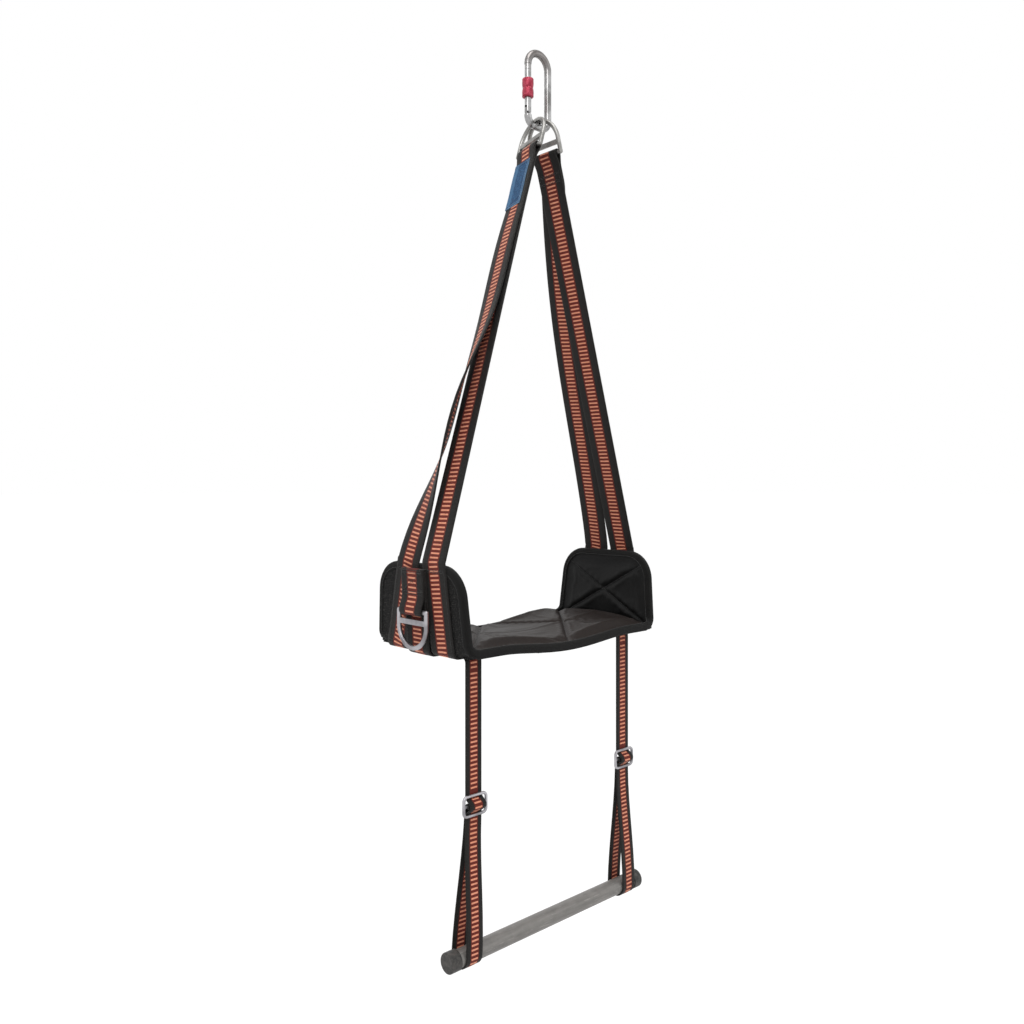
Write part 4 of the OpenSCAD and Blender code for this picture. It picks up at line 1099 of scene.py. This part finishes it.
# Right half of the rim, from the seat's front middle over the flap to the seat's rear middle:
# place, way in, way out of the face, thickness
def rimHalf():
    rim = []
    meetX = cornerX + flapMidN
    for x in np.linspace(0, meetX - binding["bend"], 30):
        rim.append(((x, -halfDepth, seatMidZ + float(sag(x))), (0, 1, 0), (0, 0, -1), seatThick))
    startH = seatMidZ - underZ + binding["bend"]
    middle = flapPoint(flapMidN - binding["bend"], 0, startH)
    for t in np.linspace(0, 1, binding["steps"])[1:-1]:
        a = mix(-math.pi / 2, -chair["flapLean"], t)
        out = (math.cos(a), 0, math.sin(a))
        x, z = middle[0] + binding["bend"] * out[0], middle[2] + binding["bend"] * out[2]
        thick = mix(seatThick, flapThick, float(ramp(t)))
        rim.append(((x, -edgeD(0, mix(0, z - underZ, t)), z), (0, 1, 0), out, thick))
    out = (leanCos, 0, -leanSin)
    corner = chair["flapCorner"]
    up = np.array([leanSin, 0, leanCos])
    slant = math.atan(taper)
    edgeIn = np.array([0, math.cos(slant), 0]) - up * math.sin(slant)
    for h in np.linspace(startH, cornerH + corner * math.sin(slant), 8):
        p = flapPoint(flapMidN, 0, h)
        rim.append(((p[0], -edgeD(0, h), p[2]), edgeIn, out, flapThick))
    for a in np.linspace(math.pi - slant, math.pi / 2, 14)[1:]:
        p = flapPoint(flapMidN, 0, cornerH + corner * math.sin(a))
        inwards = np.array([0, -math.cos(a), 0]) - up * math.sin(a)
        rim.append(((p[0], -cornerD(0) + corner * math.cos(a), p[2]), inwards, out, flapThick))
    for d in np.linspace(-cornerD(0), 0, 8)[1:]:
        p = flapPoint(flapMidN, 0, chair["flapHeight"])
        rim.append(((p[0], d, p[2]), -up, out, flapThick))
    return rim + mirrored(rim[-2::-1], (1, -1, 1))


half = rimHalf()
rim = half + mirrored(half[-2:0:-1], (-1, 1, 1))
rimPath = np.array([p for p, *_ in rim]) + np.array([0, chair["setback"], 0])
rimIn = np.array([np.asarray(w, float) for _, w, _, _ in rim])
rimOut = np.array([np.asarray(o, float) for _, _, o, _ in rim])
rimThick = np.array([t for *_, t in rim])
rimWide = mix(cushion["tape"] / chair["tapeWidth"], 1, ramp((rimThick - seatThick) / (flapThick - seatThick)))
tapeHalf = [(chair["tapeWidth"], 0.30), (chair["tapeWidth"] - 0.6, 0.44), (7.0, 0.5), (3.5, 0.5), (1.6, 0.44),
            (0.5, 0.32), (0.0, 0.14)]
tapeProfile = tapeHalf + [(x, -share) for x, share in tapeHalf[::-1]]
along = np.roll(rimPath, -1, axis=0) - np.roll(rimPath, 1, axis=0)
onFlap = int(np.argmax(rimPath[:, 2]))
if np.dot(np.cross(rimIn[onFlap], rimOut[onFlap]), along[onFlap]) < 0:
    tapeProfile = tapeProfile[::-1]  # faces outwards
piece = sweptPiece("rimTape", rimPath, rimIn, rimOut, tapeProfile, tape, "tape", closed=True,
                   scale=np.column_stack([rimWide, rimThick]))
keepOn([piece], "chair", "binding", "seat_binding_front", "seat_binding_rear", "flap_binding_left",
       "flap_binding_right")
print("binding made")

# Blank label: coated cloth folded round the rear edge of the left leg's sewn part
label = dict(length=67, width=36, cloth=0.8, corner=1.4, innerCorner=0.6, sideRows=(-10.9, 20.2), topRow=3,
             footRow=3.4, rowSpan=(-10, 20), rowProud=0.25, wideRipple=(0.004, 4.1),
             thickRipple=(0.05, 6.3), seed=12)


def labelLoop(grow, corner):
    w = band["width"] / 2 + chair["layGap"] + grow
    t = halfLayer + band["thick"] / 2 + chair["layGap"] + grow
    front = label["width"] - band["width"] / 2 - chair["layGap"]
    line = [(x, t) for x in np.linspace(front, corner - w, 12)]
    for y, start in ((t - corner, 90), (corner - t, 180)):
        line += [(corner - w + corner * math.cos(a), y + corner * math.sin(a))
                 for a in np.radians(np.linspace(start, start + 90, 6))[1:]]
    return line + [(x, -t) for x in np.linspace(corner - w, front, 12)[1:]]


labelTurn = ring["turn"]["left"]
down = np.linspace(band["meet"], band["meet"] + label["length"], 25)
path = onSide([legPoint(0, 0, s, labelTurn) for s in down], -1)
across = np.broadcast_to(onSide([legAxis(labelTurn)], -1)[0] * -1, path.shape)
out = np.broadcast_to(onSide([legOut(labelTurn)], -1)[0], path.shape)
wideSway, widePitch = label["wideRipple"]
thickSway, thickPitch = label["thickRipple"]
ease = np.column_stack([1 + wideSway * np.sin(down / widePitch),
                        1 + thickSway * np.sin(down / thickPitch + 1)])
profile = labelLoop(label["cloth"], label["corner"]) + labelLoop(0, label["innerCorner"])[::-1]
piece = sweptPiece("labelFold", path, across, out, profile, blueLabel, "label", scale=ease)
keepOn([piece], "chair", "blue_label", "label")
labelFace = halfLayer + band["thick"] / 2 + chair["layGap"] + label["cloth"] + label["rowProud"]
labelRows = []
for y in label["sideRows"]:
    labelRows.append((onSide([legPoint(labelFace, y, s, labelTurn) for s in down[1:-1]], -1), out[0]))
for s in (band["meet"] + label["topRow"], band["meet"] + label["length"] - label["footRow"]):
    row = [legPoint(labelFace, y, s, labelTurn) for y in np.linspace(*label["rowSpan"], 10)]
    labelRows.append((onSide(row, -1), out[0]))
print("label made")

# Locking sleeve: two soft swells, a dimpled waist and a ring of ribs at each end
sleeve = dict(x=-19, drop=34, length=26, bore=4.8, rim=6.9, swell=0.95, chamfer=0.6, dimples=10, dimple=0.7,
              waist=1.3, ribs=22, ribIn=2.6, ribR=7.35, rib=(1.1, 3.8, 0.8), sway=0.01, seed=5)
around = np.radians(np.arange(0, 360, 2.5))
t = np.linspace(0, 1, 53)
radius = sleeve["rim"] + sleeve["swell"] * np.abs(np.sin(2 * np.pi * t)) ** 0.75
radius[[0, -1]] -= sleeve["chamfer"]
gridT, gridA = np.meshgrid(t, around, indexing="ij")
dimple = np.clip(np.cos(sleeve["dimples"] * gridA), 0, 1) ** 3
dimple = np.exp(-((gridT - 0.5) * sleeve["length"] / sleeve["waist"]) ** 2) * dimple
bore = np.full((1, len(around)), sleeve["bore"])
outer = np.vstack([bore, radius[:, None] - sleeve["dimple"] * dimple, bore])
level = -sleeve["drop"] - sleeve["length"] * (1 - np.concatenate([[0], t, [1]]))
points = np.stack([sleeve["x"] + outer * np.cos(around), outer * np.sin(around),
                   np.broadcast_to(level[:, None], outer.shape)], -1)
count, wide = outer.shape
faces = []
for i in range(count):
    here, there = i * wide, (i + 1) % count * wide
    faces += [(here + j, here + (j + 1) % wide, there + (j + 1) % wide, there + j) for j in range(wide)]
piece = meshPiece("sleeveBody", points.reshape(-1, 3), faces, redAnodised, smooth=40)
ribRows = []
circle = np.radians(np.linspace(0, 360, 89))
circle = np.column_stack([np.cos(circle), np.sin(circle), np.zeros_like(circle)])
for z in (-sleeve["drop"] - sleeve["ribIn"], -sleeve["drop"] - sleeve["length"] + sleeve["ribIn"]):
    ribRows.append((circle * sleeve["ribR"] + np.array([sleeve["x"], 0, z]), circle))
ribUnit = beadUnit("ribUnit", *sleeve["rib"])
ribPitch = 2 * math.pi * sleeve["ribR"] / sleeve["ribs"]
ribs = growAlong("sleeveRibs", ribRows, ribUnit, ribPitch, sleeve["sway"], sleeve["seed"], redAnodised)
keepOn((piece, ribs), "sleeve", "red_sleeve", "locking_sleeve")
print("sleeve made")


# Sewing: rows of stitches that lie on the bands, the binding and the quilted seams
stitch = dict(inset=3.2, proud=0.12, pitch=3.4, run=2.7, thread=0.75, sway=0.08, tack=2.2, tabTack=1.6,
              legTack=2.0, patchTack=1.4, flapRun=(9, 107), flapTack=103, tabRun=(76, 102),
              tabCross=(78, 101), tabTacks=(75, 102), middleRun=(9, 46), legStart=24, legTacks=(26, 36),
              rootHalf=10, rootRun=(-20, 2), rootCross=(-19, 1), patchInset=3, patchTacks=(6, 4), tapeIn=1.9,
              tapeProud=0.05, seamProud=0.1, seatReach=0.94, flapReach=0.84, rayFrom=60, legEnd=2, seed=11)
edge = band["width"] / 2 - stitch["inset"]
sewing = []


def sew(points, lift):
    sewing.append((np.asarray(points, float), np.asarray(lift, float)))


def sewFlap(side, n, spots):
    sew(onSide([flapPoint(n, d, h) for d, h in spots], side), (side * leanCos, 0, -leanSin))


def zigzag(low, high, steps, width):
    t = np.linspace(0, 1, steps)
    return list(zip(mix(low, high, t), np.where(np.arange(steps) % 2, width, -width)))


for name, side in sides:
    turn = ring["turn"][name]
    bandFace = bandN + band["thick"] / 2 + stitch["proud"]
    tackH = stitch["flapTack"]
    for way in (-1, 1):
        for d in (-edge, edge):
            climb = np.linspace(*stitch["flapRun"], 30)
            sewFlap(side, bandFace, [(bandD(name, way, h) + d, h) for h in climb])
        middleD = bandD(name, way, tackH + 1)
        tacks = zigzag(-edge, edge, 27, stitch["tack"])
        sewFlap(side, bandFace, [(middleD + d, tackH + h) for d, h in tacks])
    tabFace = tabBackN + layerN + band["thick"] / 2 + stitch["proud"]
    for d in (-edge, edge):
        sewFlap(side, tabFace, [(d, h) for h in np.linspace(*stitch["tabRun"], 12)])
        sewFlap(side, tabFace, [(mix(-d, d, t), mix(*stitch["tabCross"], t)) for t in np.linspace(0, 1, 16)])
        sewFlap(side, bandFace + layerN, [(d, h) for h in np.linspace(*stitch["middleRun"], 14)])
    for at in stitch["tabTacks"]:
        sewFlap(side, tabFace, [(d, at + h) for d, h in zigzag(-edge, edge, 27, stitch["tabTack"])])
    legFace = halfLayer + band["thick"] / 2 + stitch["proud"]
    legRun = np.linspace(stitch["legStart"], band["sewn"][name] - stitch["legEnd"], 24)
    for face in (-1, 1):
        lift = onSide([legOut(turn) * face], side)[0]
        for y in (-edge,) if side < 0 else (-edge, edge):  # the label covers the left leg's rear row
            sew(onSide([legPoint(face * legFace, y, s, turn) for s in legRun], side), lift)
        for at in () if side < 0 else stitch["legTacks"]:
            tacks = zigzag(-edge, edge, 27, stitch["legTack"])
            sew(onSide([legPoint(face * legFace, y, at + s, turn) for y, s in tacks], side), lift)
    rootFace = rootZ - foot["thick"] / 2 - stitch["proud"]
    rootX = side * strapX
    for x in (-stitch["rootHalf"], stitch["rootHalf"]):
        sew([(rootX + x, y, rootFace) for y in np.linspace(*stitch["rootRun"], 10)], (0, 0, -1))
        sew([(rootX + mix(-x, x, t), mix(*stitch["rootCross"], t), rootFace) for t in np.linspace(0, 1, 12)],
            (0, 0, -1))
patchFace = underZ - layerN - chair["layGap"] - band["thick"] - stitch["proud"]
patchHalf = band["patch"] / 2 - stitch["patchInset"]
endTack, midTack = stitch["patchTacks"]
tacks = zigzag(-edge, edge, 21, stitch["patchTack"])
for way in (-1, 0, 1):
    y = chair["setback"] + way * band["spreadLow"]
    for d in (-edge, edge):
        row = np.linspace(-patchHalf, patchHalf, 24)
        sew([(x, y + d, patchFace + float(sag(x))) for x in row], (0, 0, -1))
    for x in (-patchHalf, -patchHalf + endTack, -midTack, midTack, patchHalf - endTack, patchHalf):
        sew([(x + dx, y + d, patchFace + float(sag(x))) for d, dx in tacks], (0, 0, -1))
rowIn = (chair["tapeWidth"] * rimWide - stitch["tapeIn"])[:, None]
rowOut = (0.5 * rimThick + stitch["tapeProud"])[:, None]
for face in (-1, 1):
    row = rimPath + rimIn * rowIn + rimOut * face * rowOut
    sew(np.vstack([row, row[:1]]), np.vstack([rimOut, rimOut[:1]]) * face)


# Where a ray meets a pad, in millimetres
def onto(tree, start, way):
    hit = tree.ray_cast(Vector(start) * 0.001, Vector(way))[0]
    return np.array(hit) * 1000 if hit else None


def sewSeam(tree, starts, way):
    found = [onto(tree, start, way) for start in starts]
    found = [point - np.asarray(way) * stitch["seamProud"] for point in found if point is not None]
    if len(found) > 3:
        sew(found, [-np.asarray(way) for _ in found])


def treeOf(piece):
    return BVHTree.FromPolygons([v.co for v in piece.data.vertices],
                                [p.vertices[:] for p in piece.data.polygons])


above = cushionZ + stitch["rayFrom"]
seatTree = treeOf(seatPad)
for middle in (-cell, cell):
    for way in (-1, 1):
        starts = [(middle + cell * t, chair["setback"] + way * seatBound * t, above)
                  for t in np.linspace(-stitch["seatReach"], stitch["seatReach"], 60)]
        sewSeam(seatTree, starts, (0, 0, -1))
crossD, crossH = halfDepth - chair["tapeWidth"], flapBoundTop - flapMid
for name, side in sides:
    padTree = treeOf(bpy.data.objects["flapPad_" + name])
    for way in (-1, 1):
        starts = [flapPoint(-stitch["rayFrom"], crossD * t, flapMid + way * crossH * t)
                  for t in np.linspace(-stitch["flapReach"], stitch["flapReach"], 60)]
        sewSeam(padTree, onSide(starts, side), np.array([side * leanCos, 0, -leanSin]))
threadBead = beadUnit("threadBead", stitch["run"], stitch["thread"], stitch["thread"], 4, 4)
pitch, sway = stitch["pitch"], stitch["sway"]
stitches = growAlong("chairStitches", sewing, threadBead, pitch, sway, stitch["seed"], darkThread)
labelHems = growAlong("labelHems", labelRows, threadBead, pitch, sway, label["seed"], paleThread)
for piece, slot in ((stitches, "binding"), (labelHems, "blue_label")):
    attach(piece, "chair")
for unit in (bandFloat, footFloat, ribUnit, threadBead):
    bpy.data.objects.remove(unit)
print("sewing made")

# Hardware keeps its solids and takes the finishes
hardware = ((forgedSteel, ("carabiner_frame", "gate_pin", "carabiner_gate", "gate_plunger", "gate_spring")),
            (topSteel, ("top_ring_left", "top_ring_right")),
            (ringSteel, ("side_ring_left", "side_ring_right", "buckle_left", "buckle_right")),
            (dullTube, ("foot_bar",)),
            (greyCap, ("bar_cap_left", "bar_cap_right")),
            (flapVinyl, ("seat_board",)))
for finish, names in hardware:
    for name in names:
        nodes[name].data.materials.clear()
        nodes[name].data.materials.append(finish)

# Stage: pale floor, white surroundings for the eye, and soft studio light
studio = dict(floor=-1270, reach=60000, world=0.46, glow=1.16, glowShare=0.8)

# Each lamp's place, aim and size in metres, and its power
lamps = dict(keyLight=((-2.2, -1.6, 1.2), (0, 0, -0.6), 1.6, 24.0),
             fillLight=((1.6, -2.4, 0.2), (0, 0, -0.7), 2.0, 8.0),
             rimLight=((1.4, 2.2, 1.0), (0, 0, -0.6), 1.4, 10.0),
             topLight=((-0.4, -0.5, 1.7), (0, 0, -0.8), 1.6, 26.0))
for name, (place, aim, size, power) in lamps.items():
    lamp = bpy.data.lights.new(name, "AREA")
    lamp.shape = "DISK"
    lamp.size = size
    lamp.energy = power
    holder = bpy.data.objects.new(name, lamp)
    holder.location = place
    holder.rotation_euler = (Vector(aim) - Vector(place)).to_track_quat("-Z", "Y").to_euler()
    scene.collection.objects.link(holder)


# One where the background shows: to the eye, in gloss and through glass
def backgroundRays(graph):
    rays = graph.node("ShaderNodeLightPath").socket.node
    seen = Sock(graph, rays.outputs["Is Camera Ray"])
    for ray in ("Is Glossy Ray", "Is Transmission Ray"):
        seen = seen.largest(Sock(graph, rays.outputs[ray]))
    return seen


world = bpy.data.worlds.new("studio")
scene.world = world
world.use_nodes = True
sky = Graph(world.node_tree)
level = sky.node("ShaderNodeMapRange", None,
                 {"Value": backgroundRays(sky), "To Min": studio["world"], "To Max": 1.0})
backdrop = sky.tree.nodes["Background"]
sky.put(backdrop.inputs["Color"], (1, 1, 1, 1))
sky.put(backdrop.inputs["Strength"], level)

paleFloor = Finish("paleFloor")
paleFloor.surface({"Base Color": (0.9, 0.9, 0.9, 1), "Roughness": 0.9, "Specular IOR Level": 0.1})
lit = Sock(paleFloor, paleFloor.shader.outputs[0])
glow = paleFloor.node("ShaderNodeEmission", None, {"Color": (1, 1, 1, 1), "Strength": studio["glow"]})
share = studio["glowShare"] * backgroundRays(paleFloor)
both = paleFloor.node("ShaderNodeMixShader", None, {0: share, 1: lit, 2: glow})
paleFloor.put(paleFloor.tree.nodes["Material Output"].inputs["Surface"], both)
far = studio["reach"]
floorCorners = [(x, y, studio["floor"]) for x, y in ((-far, -far), (far, -far), (far, far), (-far, far))]
floor = meshPiece("floor", floorCorners, [(0, 1, 2, 3)], paleFloor.material)

# Camera at the photograph's angle
view = dict(place=(-0.880, -0.890, -0.583), look=(0.6827, 0.7307, 0), lens=32.12, sensor=36,
            shiftY=-0.0276, reach=200)
camera = bpy.data.cameras.new("camera")
camera.lens = view["lens"]
camera.sensor_width = view["sensor"]
camera.shift_y = view["shiftY"]
camera.clip_end = view["reach"]
eye = bpy.data.objects.new("camera", camera)
eye.location = view["place"]
eye.rotation_euler = Vector(view["look"]).to_track_quat("-Z", "Y").to_euler()
scene.collection.objects.link(eye)
scene.camera = eye
scene.view_settings.view_transform = "Standard"

print("scene ready")
